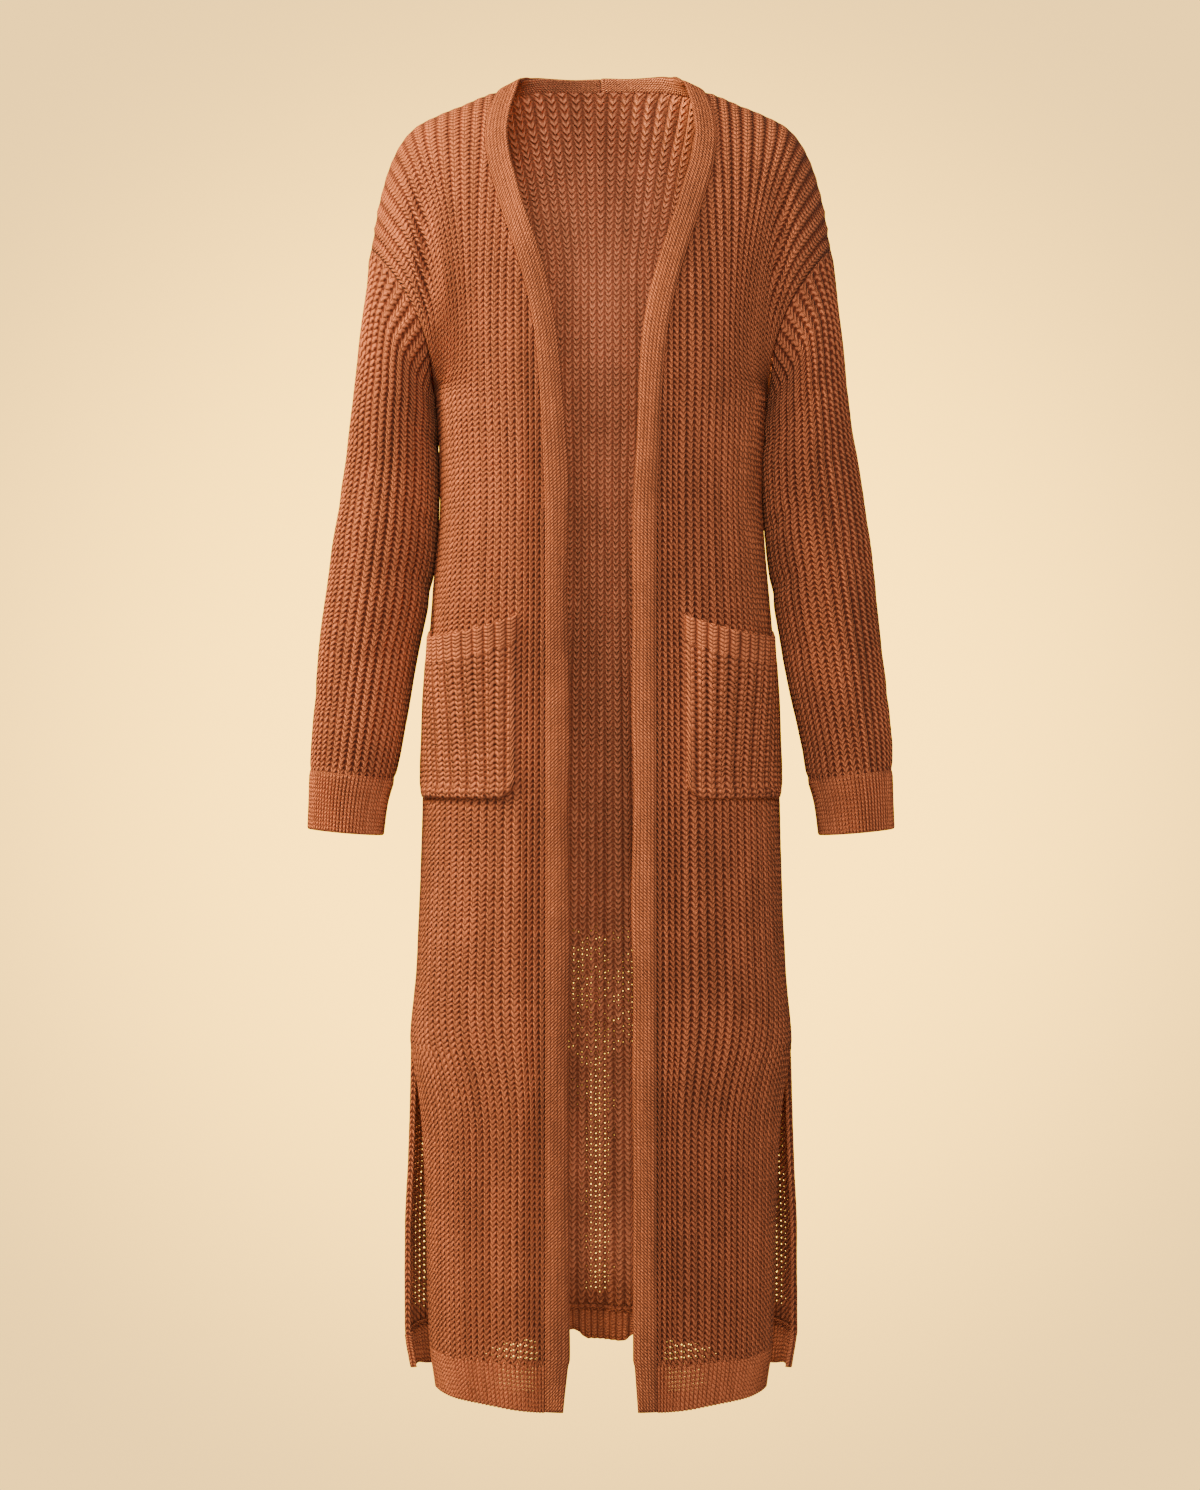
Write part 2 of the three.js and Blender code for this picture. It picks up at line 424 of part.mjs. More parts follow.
// ---- neck band: one strip each side, from the hem round to the centre back ----
function frontSurface(x, z) {
  const high = z > UNDERARM_Z, half = high ? mix(halfOf(UNDERARM_Z, "front"), 208, clamp01((z - UNDERARM_Z) / 125)) : halfOf(z, "front");
  return -(depthOf(z, "front") * squared(x / half, at(BODY, "z", "square", z)) * (high ? shoulderFall(x, z, "front") : 1) - COVER);
}
function bandGeometry() {
  const stations = [];
  const line = FRONT_SEAM.map((r) => V(r.x, frontSurface(r.x, r.z), r.z)), whole = [...line, ...NECK.map((r) => V(r.x, r.y, r.z))];
  whole.forEach((p, k) => {
    const tangent = whole[Math.min(k + 1, whole.length - 1)].clone().sub(whole[Math.max(k - 1, 0)]).normalize();
    let out, across;
    if (k < line.length) {
      const e = 1, n = V(frontSurface(p.x + e, p.z) - frontSurface(p.x - e, p.z), -2 * e, 0), m = V(0, -2 * e, frontSurface(p.x, p.z + e) - frontSurface(p.x, p.z - e));
      out = V(n.x, -2 * e, m.z).normalize().negate();
      out = V(-n.x, 2 * e, -m.z).normalize().negate();
      across = tangent.clone().cross(out).normalize();
      if (across.x > 0) across.negate();
      const near = smooth((k - (line.length - 5)) / 5), up = V(NECK[0].ux, NECK[0].uy, NECK[0].uz);
      across.lerp(up, near).normalize();
    } else {
      const r = NECK[k - line.length];
      across = V(r.ux, r.uy, r.uz).normalize();
    }
    out = tangent.clone().cross(across).normalize();
    if (out.dot(V(p.x, p.y, 40)) < 0) out.negate();
    // Seen from the front the strip stays on the neck's side of its seam.
    const flat = V(-tangent.z, 0, tangent.x);
    if (k <= line.length && flat.lengthSq() > 0.01) {
      flat.normalize();
      if (flat.x > 0) flat.negate();
      if (k < line.length) out.addScaledVector(flat, -Math.min(0, out.dot(flat)));
      else out.x = Math.min(out.x, 0.2);
    }
    stations.push({ p, across, out });
  });
  // A rounded strip: across from the seam, and out from the inside of the cloth.
  const T = BAND.thick, W = BAND.width;
  const profile = [[GAP * 0.75, 0.2], [W - 1.2, 0], [W, T * 0.35], [W - 0.6, T * 0.85], [W - 3, T * 1.1], [W * 0.5, T * 0.94], [2.4, T], [GAP * 0.75, T * 0.8]];
  const position = [], index = [], n = profile.length;
  stations.forEach(({ p, across, out }, k) => {
    for (const [a, o] of profile) {
      const q = p.clone().addScaledVector(across, a).addScaledVector(out, o);
      if (k > line.length - 5 && k < line.length + 2) q.x = Math.min(q.x, p.x - 0.5);
      if (k === stations.length - 1) q.x = GAP / 2;
      position.push(q.x, q.y, q.z);
    }
  });
  for (let k = 0; k + 1 < stations.length; k++)
    for (let i = 0; i < n; i++) {
      const a = k * n + i, b = k * n + ((i + 1) % n), c = b + n, d = a + n;
      index.push(a, b, c, a, c, d);
    }
  const last = (stations.length - 1) * n;
  for (let i = 1; i + 1 < n; i++) { index.push(0, i + 1, i); index.push(last, last + i, last + i + 1); }
  const g = new THREE.BufferGeometry();
  g.setAttribute("position", new THREE.Float32BufferAttribute(position, 3));
  g.setIndex(index);
  return facingOut(g);
}
function facingOut(g) {
  const s = solid(g);
  if (s.volume() > 0) return g;
  const ix = g.index.array;
  for (let i = 0; i < ix.length; i += 3) [ix[i + 1], ix[i + 2]] = [ix[i + 2], ix[i + 1]];
  return g;
}

// ---- patch pockets: made from the front's own rib tops, moved out ----
function columnPoint(i, z, lift) { // on the front's column i at height z, so far over its ribs
  const g = front.grid, lows = LOW_ROWS.length;
  let j = 0;
  while (j < lows - 2 && g[j + 1][i].z < z) j++;
  const a = g[j][i].clone().addScaledVector(frontOut[j][i], lift), b = g[j + 1][i].clone().addScaledVector(frontOut[j + 1][i], lift);
  const t = (z - a.z) / (b.z - a.z);
  const n = frontOut[j][i].clone().lerp(frontOut[j + 1][i], t).normalize();
  return { p: a.lerp(b, t), n };
}
function pocketWall(piece) {
  const grid = [], out = [], rows = piece === "trim" ? 2 : 5;
  for (let j = 0; j < rows; j++) {
    const row = [], dir = [];
    for (let i = 2 * POCKET.first - 1; i <= 2 * POCKET.last + 1; i++) {
      const s = (i - 2 * POCKET.first + 1) / (2 * (POCKET.last - POCKET.first) + 2); // 0 at the front edge, 1 at the side
      const mouth = POCKET.mouthOuterZ + POCKET.mouthRise * (1 - s) ** 2 - 6 * Math.sin(Math.PI * s), corner = POCKET.corner * clamp01((Math.abs(2 * s - 1) - 0.78) / 0.22) ** 2;
      const bottom = POCKET.bottomZ + corner, join = mouth - POCKET.trim;
      const z = piece === "trim" ? mix(join + GAP / 2, mouth, j / (rows - 1)) : mix(bottom, join - GAP / 2, j / (rows - 1));
      const share = (z - bottom) / (mouth - bottom), open = POCKET.gape * Math.sin(Math.PI * s) * Math.max(0, share) ** 1.6;
      const odd = i % 2 !== 0, get = (k) => columnPoint(k, z, GAP + open + POCKET.thick + 1.2);
      if (odd) { const c = get(i); row.push(c.p); dir.push(c.n); }
      else { const a = get(i - 1), b = get(i + 1); row.push(a.p.lerp(b.p, 0.5)); dir.push(a.n.lerp(b.n, 0.5).normalize()); }
    }
    grid.push(row); out.push(dir);
  }
  return wall(grid, out, { thick: piece === "trim" ? POCKET.thick + 0.4 : POCKET.thick, rib: 1.2 });
}

// ---- the garment ----
const garment = new THREE.Group();
garment.name = "cardigan";
function add(name, geometry, material) {
  const mesh = new THREE.Mesh(geometry, material);
  mesh.name = name;
  geometry.computeVertexNormals();
  garment.add(mesh);
}
const pairs = [
  ["front_panel", frontGeometry, RUST], ["front_hem_rib", frontHemGeometry, RUST_DENSE], ["sleeve", sleeveGeometry, RUST], ["cuff", cuffGeometry, RUST_DENSE],
  ["neck_band", bandGeometry(), RUST_DENSE], ["pocket", pocketWall("bag"), RUST], ["pocket_rib", pocketWall("trim"), RUST_DENSE],
];
add("back_panel", facingOut(backGeometry), RUST);
add("back_hem_rib", facingOut(backHemGeometry), RUST_DENSE);
for (const [name, geometry, material] of pairs) {
  const left = facingOut(geometry);
  add(name + "_left", left, material);
  add(name + "_right", mirrored(left), material);
}
export default garment;
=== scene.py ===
"""A long open-front cardigan in rust rib knit, worn and hollow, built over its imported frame.

Lengths in the tables are millimetres in the frame's own axes: +X is the wearer's left, the front
faces -Y, +Z is up, and the origin is midway between the two high shoulder points. Each operator
but the studio's builds one group of sewn pieces as knitted sheets: smooth surfaces of two parameters
(across the ribs, and up the courses) that are then pressed into ribs and stitches.
"""

import bpy
import numpy as np
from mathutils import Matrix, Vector


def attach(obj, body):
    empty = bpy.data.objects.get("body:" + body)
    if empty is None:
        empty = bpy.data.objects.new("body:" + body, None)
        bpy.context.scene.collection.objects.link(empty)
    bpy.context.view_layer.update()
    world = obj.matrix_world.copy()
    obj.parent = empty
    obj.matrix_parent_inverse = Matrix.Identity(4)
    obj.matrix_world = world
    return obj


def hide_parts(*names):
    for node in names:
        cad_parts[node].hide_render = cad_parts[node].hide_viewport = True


bl_info = {
    "name": "Open-front rib-knit cardigan",
    "version": (1, 0, 0),
    "blender": (4, 5, 0),
    "location": "View3D > Sidebar > Cardigan",
    "description": "Builds a long rust cardigan in rib knit, piece by piece, with its studio",
    "category": "Object",
}

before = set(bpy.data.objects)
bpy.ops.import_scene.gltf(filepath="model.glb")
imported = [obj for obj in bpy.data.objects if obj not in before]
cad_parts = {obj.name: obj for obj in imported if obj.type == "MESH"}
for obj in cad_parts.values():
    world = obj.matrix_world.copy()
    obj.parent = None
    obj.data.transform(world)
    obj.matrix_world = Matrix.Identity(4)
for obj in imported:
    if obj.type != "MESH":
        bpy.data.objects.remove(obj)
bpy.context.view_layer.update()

# ---- the pattern's sizes, in millimetres ----
HEM_Z = {"front": -1171.0, "back": -1161.0}
HEM_TOP, SLIT_Z, UNDERARM_Z = -1132.6, -866.0, -285.0
ARMHOLE = {"tip_x": 208.0, "tip_z": -157.0, "foot_x": 149.6, "depth": 62.0}
FRONT_RIBS, BACK_RIBS, SLEEVE_RIBS = 24, 56, 34
COVER = 4.0  # from the inside of the cloth to the top of its ribs
COLUMNS = 4.0  # columns of points to a rib
EDGE_LINES = 3  # lines of points in a rolled edge or a seam allowance
FRONT_EDGE = 48.4  # x of a front panel's inner edge, before the V is cut
SEAM_CLEAR = 0.3  # from the band's seam line to the cut edge of a front
NECK_END = 90.0  # x where the neck line meets the shoulder's ridge
BACK_STRETCH = 1.112  # how much taller the back's courses are than the fronts'
UPPER_ROWS = {"back": 100, "front": 170}  # rows of points from the underarm to the shoulder
BAND = {"width": 21.0, "thick": 4.6}  # the strip round the front edges and the neck
SIDE_NAMES = {1: "left", -1: "right"}

# height, half width of the front and the back, depth of the front and the back, squareness
BODY = np.array([
    [20, 205, 205, 92, 96, 2.4], [-60, 205, 205, 98, 104, 2.4], [-160, 180, 180, 108, 112, 2.4],
    [-285, 149, 149, 117, 108, 2.4], [-380, 144.5, 144.5, 113, 98, 2.4], [-465, 151, 151, 110, 96, 2.4],
    [-560, 158, 158, 112, 106, 2.5], [-700, 161.5, 161.5, 115, 116, 2.5], [-800, 165.5, 165.5, 118, 119, 2.5],
    [-866, 171, 171, 120, 120, 2.5], [-905, 167.5, 172, 121, 121, 2.5], [-970, 161, 174, 122, 122, 2.5],
    [-1050, 158, 177, 124, 124, 2.5], [-1125, 155.5, 177, 125, 125, 2.5], [-1171, 151, 170, 125, 125, 2.5],
])
# height and x of the front's free edge beside the slit
SLIT_EDGE = np.array([
    [-866, 171], [-890, 165.5], [-930, 160], [-1000, 156.5], [-1060, 155], [-1130, 152.5], [-1171, 147],
])
# x and height of the shoulder's ridge, from over the neck to the dropped armhole
RIDGE = np.array([
    [0, 31], [36, 25], [66, 13], [84, -6], [90, -12.5], [99, -15], [113, -20.5], [125, -26],
    [139, -31.5], [151, -37], [162, -42.5], [170, -48.5], [178, -57.5], [184.5, -68], [191.5, -84],
    [197, -102], [201.5, -120], [204.5, -138], [208, -157],
])
# height and x of the seam between the band and the front
FRONT_SEAM = np.array([
    [-1171, 48], [-1040, 48], [-900, 48], [-760, 48], [-620, 48], [-500, 48], [-400, 48.5],
    [-330, 51], [-285, 53.5], [-249, 57], [-220, 62], [-194, 68.5], [-166, 77], [-140, 85.5],
    [-115, 93], [-92, 99], [-67, 102], [-47, 100.5], [-30, 96.5], [-19, 92.5],
])
# the neck line at the back: its place, the way the band stands up from it, and how much narrower
# the band is there
NECK_LINE = np.array([
    [90, 0, -17, -0.88, 0, 0.47, 0], [87.5, 13, -16, -0.86, -0.1, 0.5, 0.5],
    [81.5, 26, -14, -0.74, -0.22, 0.62, 2], [72, 38, -11.5, -0.55, -0.3, 0.76, 4.5],
    [58, 47, -9, -0.38, -0.34, 0.86, 6], [40, 54, -8, -0.22, -0.36, 0.91, 6.6],
    [20, 58, -7.5, -0.1, -0.37, 0.92, 7], [0, 59, -7.2, 0, -0.38, 0.92, 7],
])
# the seam between the band and the back: the neck line moved up by what the band is narrower
NECK = NECK_LINE.copy()
NECK[:, :3] += NECK_LINE[:, 3:6] * NECK_LINE[:, 6:7]
# sleeve and cuff rings: height, middle x and y, half width, half depth, rise of the outer side
SLEEVE = np.array([
    [-627.6, 222.5, -15, 38.2, 41, 4], [-545, 212, -6, 43, 48, 5], [-461, 199.8, 0, 46, 52, 6],
    [-380, 190.3, 3, 44.3, 56, 12], [-300, 184.8, 2, 36.9, 61, 24], [-250, 181.2, 1, 31, 63, 50],
])
CUFF = np.array([
    [-677, 227.5, -21, 34, 36, 3], [-650, 225.5, -18, 35.6, 37.5, 3], [-627.6, 222.5, -15, 38.2, 41, 4],
])
# soft upright folds: x, lean, half width, depth (inwards where positive), the height where it starts
# and the height where it is full
BACK_FOLDS = [
    (10, 12, 15, 11, -420, -760), (-42, -6, 26, -4, -500, -900),
    (74, 8, 26, 5, -600, -950), (-100, -8, 24, 4, -650, -1000),
]
FRONT_FOLDS = [(92, 4, 20, 3, -680, -1000), (124, 6, 16, -3, -700, -1050)]
# crease between chest and upper arm: height, x, depth
CREASE = np.array([[-265, 146, 0], [-225, 150, 5], [-180, 152, 10], [-140, 156, 8], [-95, 161, 0]], float)
# a pocket: the panel's ribs it lies between, its own ribs, its heights and how far its mouth stands off
POCKET = {
    "first": 4.5, "last": 20.5, "ribs": 14, "bottom": -647.0, "mouth": -503.0,
    "rise": 13.0, "trim": 21.0, "gape": 19.0, "corner": 12.0, "seam": (0.25, 1.6),
}
# each piece's node: its cloth, the record's slot, its flat cut in metres (width, length) and what it
# hangs from; {} is the side's word
CUTS = {
    "back_panel": ("Rust rib knit", "rust_rib_knit", (0.51, 1.17), ["neck_band_left", "neck_band_right"]),
    "back_hem_rib": ("Rust fine rib", "rust_dense_knit", (0.50, 0.035), ["back_panel"]),
    "front_panel": ("Rust rib knit", "rust_rib_knit", (0.20, 1.18), ["neck_band_{}"]),
    "front_hem_rib": ("Rust fine rib", "rust_dense_knit", (0.145, 0.047), ["front_panel_{}"]),
    "sleeve": ("Rust rib knit", "rust_rib_knit", (0.31, 0.43), ["front_panel_{}", "back_panel"]),
    "cuff": ("Rust fine rib", "rust_dense_knit", (0.23, 0.060), ["sleeve_{}"]),
    "neck_band": ("Rust twill band", "rust_dense_knit", (0.021, 1.30), ["front_panel_{}"]),
    "pocket": ("Rust open knit", "rust_rib_knit", (0.135, 0.14), ["front_panel_{}"]),
    "pocket_rib": ("Rust pocket rib", "rust_dense_knit", (0.145, 0.028), ["pocket_{}"]),
}
# the studio's lamps: name, place, target, size, power, colour
LAMPS = [
    ("Key", (-1.52, -0.6, 0.8), (0, 0, -0.38), 0.9, 93, (1.0, 0.85, 0.5)),
    ("Front", (-0.1, -3.2, -0.45), (0, 0, -0.6), 1.2, 20, (0.85, 0.97, 1.0)),
    ("Neck", (0.0, -2.2, 0.25), (0, 0, -0.15), 1.0, 33, (0.92, 0.97, 1.0)),
    ("Top", (-0.2, -0.8, 1.7), (0, 0, -0.2), 1.0, 10, (1.0, 0.95, 0.8)),
]
CAMERA_AWAY, CAMERA_Z = 2.4, -0.601  # metres in front of the garment's middle, and its height


# ---- small sums ----
def mix(a, b, t):
    """a where t is 0 and b where t is 1, straight between."""
    return a + (b - a) * t


def smooth(t):
    """0 below 0 and 1 above 1, with an even S between: 3t^2 - 2t^3."""
    t = np.clip(t, 0, 1)
    return t * t * (3 - 2 * t)


def bell(t, half):
    """1 at 0, falling off to both sides, about a third at the half width: exp(-(t / half)^2)."""
    return np.exp(-((t / half) ** 2))


def bend(keys, values, q):
    """A smooth curve through rows of values: a cubic between rows, whose slope at a row is the
    harmonic mean of the slopes on its two sides, or 0 at a turning point, so that it never
    overshoots.
    """
    keys, values = np.asarray(keys, float), np.asarray(values, float)
    if keys[0] > keys[-1]:
        keys, values = keys[::-1], values[::-1]
    h = np.diff(keys).reshape(-1, *[1] * (values.ndim - 1))
    slope = np.diff(values, axis=0) / h
    a, b = slope[:-1], slope[1:]
    inner = np.where(a * b <= 0, 0, 2 * a * b / np.where(a + b == 0, 1, a + b))
    tangent = np.concatenate([slope[:1], inner, slope[-1:]])
    q = np.clip(np.asarray(q, float), keys[0], keys[-1])
    i = np.clip(np.searchsorted(keys, q, side="right") - 1, 0, len(keys) - 2)
    t = ((q - keys[i]) / (keys[i + 1] - keys[i])).reshape(q.shape + (1,) * (values.ndim - 1))
    return ((2 * t**3 - 3 * t**2 + 1) * values[i] + (t**3 - 2 * t**2 + t) * h[i] * tangent[i]
            + (3 * t**2 - 2 * t**3) * values[i + 1] + (t**3 - t**2) * h[i] * tangent[i + 1])


def unit(v):
    """Each direction at length 1."""
    return v / np.maximum(np.linalg.norm(v, axis=-1, keepdims=True), 1e-9)


def drift(u, v, seed, scale, octaves=3):
    """Slow unevenness between about -1 and 1: a sum of waves in seeded directions, each octave
    twice as fine and half as strong.
    """
    rng = np.random.default_rng(seed)
    total, weight = 0.0, 0.0
    for k in range(octaves):
        for _ in range(4):
            a, phase = rng.uniform(0, 2 * np.pi, 2)
            pace = 2 * np.pi * rng.uniform(0.7, 1.3) * 2**k / scale
            total = total + np.sin(pace * (u * np.cos(a) + v * np.sin(a)) + phase) * 0.5**k
        weight += 2 * 0.5**k
    return total / weight


def column(table, q, k):
    """Column k of a table at q of its first column."""
    return bend(table[:, 0], table[:, k], q)


def squared(share, n):
    """Depth share of a squared oval at a share of its half width: (1 - |share|^n)^(1/n)."""
    return np.maximum(0, 1 - np.abs(share) ** n) ** (1 / n)


ARM_MID, ARM_HALF = (ARMHOLE["tip_z"] + UNDERARM_Z) / 2, (ARMHOLE["tip_z"] - UNDERARM_Z) / 2


def seam_x(z):
    """x of the armhole seam: from the foot to the tip as the square of the share of the height."""
    share_up = (z - UNDERARM_Z) / (2 * ARM_HALF)
    return ARMHOLE["foot_x"] + (ARMHOLE["tip_x"] - ARMHOLE["foot_x"]) * share_up**2


def loop_point(angle):
    """The armhole seam: height goes as the cosine of the angle and depth as its sine, 0 at the
    shoulder tip and a quarter turn at the front.
    """
    z = ARM_MID + ARM_HALF * np.cos(angle)
    return np.stack([seam_x(z), -ARMHOLE["depth"] * np.sin(angle), z], -1)


def ridge_z(x):
    """Height of the shoulder's ridge."""
    return column(RIDGE, x, 1)


def neck_z(x):
    """Height of the back's top edge: the neck line, and the ridge beyond it."""
    return np.where(x < NECK_END, column(NECK, x, 2), ridge_z(x))


def shoulder_fall(x, z, face):
    """How much of the body's depth is left at a height under the shoulder's ridge: a quarter
    round over the reach.
    """
    reach = mix(190, 140, smooth((x - 100) / 80)) if face == "front" else 130.0
    k = np.clip((ridge_z(x) - z) / reach, 0, 1)
    return np.sqrt(1 - (1 - k) ** 2)


def body_depth(z, face):
    """Depth of the front or the back from the middle plane, outer size."""
    return column(BODY, z, 3 if face == "front" else 4)


def body_half(z, face):
    """Half width of the front or the back, outer size."""
    return column(BODY, z, 1 if face == "front" else 2)


def folds(rows, x, z):
    """Bell-shaped folds that deepen down to their full depth and lean sideways."""
    total = 0
    for mid, lean, half, depth, top, full in rows:
        on = smooth((top - z) / (top - full))
        leaning = lean * (top - z) / (top - HEM_Z["back"])
        total = total + depth * on * bell(x - mid - leaning, half)
    return total


def resample(line, lengths):
    """Points at the wanted lengths along each row of a table of curves. Every row's own lengths
    are shifted past the row before, so that one table serves them all.
    """
    step = np.linalg.norm(np.diff(line, axis=1), axis=2)
    s = np.concatenate([np.zeros((len(line), 1)), np.cumsum(step, 1)], 1)
    shift = np.arange(len(line))[:, None] * (s[:, -1].max() + 100)
    want = (np.clip(lengths, 0, s[:, -1:]) + shift).ravel()
    have = (s + shift).ravel()
    found = [np.interp(want, have, line[..., k].ravel()) for k in range(3)]
    return np.stack(found, -1).reshape(*lengths.shape, 3)


# ---- the body panels ----
def panel_lines(face, levels, inner):
    """One fine curve for each level, from the panel's inner side to its outer side, over its ribs.
    A level under 0 is a height, and one from 0 to 1 is the share of the way up from the underarm to
    the shoulder.
    Low: x runs round a squared oval and y is its depth. High: the oval is as wide as makes it pass
    through the armhole seam, its depth falls to nothing at the ridge, and the rows bend to meet the
    armhole.
    """
    count, levels = 140, np.asarray(levels, float)
    high = levels >= 0
    share_up = np.clip(levels, 0, 1)
    low_z = np.where(high, UNDERARM_Z, levels)
    z_tip = mix(UNDERARM_Z, ARMHOLE["tip_z"], share_up)
    angle = np.arccos(np.clip((z_tip - ARM_MID) / ARM_HALF, -1, 1))
    end_high = seam_x(z_tip)
    n_high = column(BODY, z_tip, 5)
    full = body_depth(z_tip, face) * np.maximum(0.02, shoulder_fall(end_high, z_tip, face))
    share = np.minimum(0.995, ARMHOLE["depth"] * np.sin(angle) / full)
    across = np.maximum(0.05, (1 - share**n_high) ** (1 / n_high))
    half_high = np.where(share_up >= 1, end_high * 1.1, end_high / across)
    half_low = end_low = body_half(low_z, face)
    if face == "front":
        beside_slit = np.minimum(half_low, column(SLIT_EDGE, low_z, 1))
        end_low = np.where(low_z < SLIT_Z, beside_slit, half_low)
    half, end_x = np.where(high, half_high, half_low), np.where(high, end_high, end_low)
    n0 = np.where(high, n_high, column(BODY, low_z, 5))
    a0 = np.arcsin(np.minimum(1, (inner / half) ** (n0 / 2)))
    a1 = np.arcsin(np.minimum(1, (end_x / half) ** (n0 / 2)))
    k = np.linspace(0, 1, count)[None, :]
    up, half, end_x, n0 = share_up[:, None], half[:, None], end_x[:, None], n0[:, None]
    x = np.minimum(end_x, half * np.sin(mix(a0[:, None], a1[:, None], k)) ** (2 / n0))
    top = ridge_z(x) if face == "front" else neck_z(x)
    tip = z_tip[:, None]
    pull = smooth((x - end_x + 45) / 45) * (1 - up**8)
    pull[:, -1] = 1
    z_high = mix(mix(UNDERARM_Z, top, up), tip, pull)
    creased = (z_high > CREASE[0, 0]) & (z_high < CREASE[-1, 0])
    dip = np.where(creased, column(CREASE, z_high, 2), 0)
    y_high = body_depth(z_high, face) * squared(x / half, column(BODY, z_high, 5))
    y_high = y_high * shoulder_fall(x, z_high, face)
    y_high = y_high - dip * bell(x - column(CREASE, z_high, 1), 9) * smooth((end_x - x) / 14)
    y_high[:, -1] = ARMHOLE["depth"] * np.sin(angle)
    y_low = body_depth(low_z, face)[:, None] * squared(x / half, n0)
    is_high = high[:, None]
    y = np.where(is_high, y_high, y_low)
    z = np.where(is_high, z_high, np.broadcast_to(low_z[:, None], x.shape))
    return np.stack([x, y, z], -1)


def half_panel(face, levels, columns, inner):
    """Half of a body panel as a grid over its ribs. Columns are even round the body, but for four
    narrower ribs beside the band; above the underarm each keeps its length from the middle, and
    the shoulder's extra width goes to the outer columns of the front and to all of the back's.
    """
    lines = panel_lines(face, levels, inner)
    total = np.linalg.norm(np.diff(lines, axis=1), axis=2).sum(1)[:, None]
    edge = FRONT_EDGE if face == "front" else 0.0
    chest_line = panel_lines(face, [0.0], np.array([edge]))
    chest = np.linalg.norm(np.diff(chest_line, axis=1), axis=2).sum()
    u = np.linspace(0, 1, columns + 1)[None, :]
    if face == "front":
        narrow = 0.74  # how wide those four ribs are beside an even rib
        rest = (u - 1 / 6) * (1 - narrow / 6) * 1.2
        u = np.where(u < 1 / 6, u * narrow, narrow / 6 + rest)
    high = (np.asarray(levels) >= 0)[:, None]
    outer = np.clip((u - 0.28) / 0.72, 0, 1) ** 1.5
    narrower = np.clip((u - 0.5) / 0.5, 0, 1) ** 2
    fan = outer if face == "front" else np.where(total < chest, narrower, u)
    # a sudden change of width, as where the slit starts, is taken up by the outer columns alone
    window = np.hanning(61)[1:-1]
    padded = np.pad(total[:, 0], 29, mode="edge")
    even = np.convolve(padded, window / window.sum(), "valid")[:, None]
    z = lines[:, :1, 2]
    even = mix(total, even, smooth((-700 - z) / 90) * (len(levels) > 100))
    lengths = np.where(high, chest * u + (total - chest) * fan, even * u + (total - even) * u**5)
    grid = resample(lines, lengths)
    x, z = grid[..., 0], grid[..., 2]
    rows = FRONT_FOLDS if face == "front" else BACK_FOLDS
    grid[..., 1] -= folds(rows, x, z) * np.where(high, 0, 1)
    return eased(grid, int(np.sum(~high)))


def eased(grid, row):
    """Takes the sudden turn out of a grid's columns near one row: each point moves to the mean of
    its neighbours up and down, the less the further it is from the row.
    """
    reach = 14  # rows
    if row < 4 * reach or row > len(grid) - 2 * reach:
        return grid
    for _ in range(3):
        mean = sum(grid[2 + k:len(grid) - 2 + k] for k in (-2, -1, 0, 1, 2)) / 5
        part = smooth(1 - np.abs(np.arange(2, len(grid) - 2) - row) / reach)[:, None, None]
        grid = np.concatenate([grid[:2], mix(grid[2:-2], mean, part), grid[-2:]])
    return grid


def normals(grid, sign, loop=False):
    """Outward directions of a grid: the cross product of its two slopes."""
    if loop:
        around = np.roll(grid, -1, 1) - np.roll(grid, 1, 1)
    else:
        around = np.gradient(grid, axis=1)
    n = np.cross(around, np.gradient(grid, axis=0)) * sign
    return unit(n)


# ---- knitting: a smooth grid becomes ribs and stitches ----
def knit(grid, out, wale, course, fade, seed, knob=0.35, tall=None):
    """Presses a smooth grid into ribs. Across a rib (wale 0 to 1) the depth goes furrow, side,
    top, side; up each course the sides swell and pinch, so that a rib is a chain of stitches.
    fade 0 flattens it where a seam takes it.
    """
    tall = SIZES.rib_height * 1000 if tall is None else tall
    rng = np.random.default_rng(seed)
    phase = wale % 1
    top = 0.5 - 0.5 * np.cos(2 * np.pi * phase)
    side = 1 - np.abs(4 * np.abs(phase - 0.5) - 1)
    beat = np.cos(2 * np.pi * course) * knob
    shape = top**0.85 + side * 0.13 * beat - (1 - top) * 0.10 * beat
    shape = shape + rng.normal(0, 0.018, phase.shape)
    slow = drift(wale * 6, course * 5, seed + 7, 90) * 0.12
    depth = tall * (1 - shape * (1 + slow))
    depth = mix(tall * 0.5, depth, fade)
    points = grid - out * depth[..., None]
    across = unit(np.gradient(grid, axis=1))
    swing = np.sin(2 * np.pi * phase) * 0.3 * beat * fade
    return points - across * swing[..., None]


def hooked(edge, out, along, free, radius=1.7, sewn=(1.0, 0.8)):
    """Extra lines past an edge. Where it is free they roll back inwards round a half circle, and
    where it is sewn (free 0) they go on and inwards as a seam allowance.
    """
    lines = []
    for k in range(1, EDGE_LINES + 1):
        a = np.pi * k / EDGE_LINES
        roll = along * (radius * np.sin(a)) - out * (radius * (1 - np.cos(a)))
        tuck = along * (sewn[0] * k) - out * (sewn[1] * k)
        lines.append(edge + mix(tuck, roll, np.asarray(free)[..., None]))
    return lines


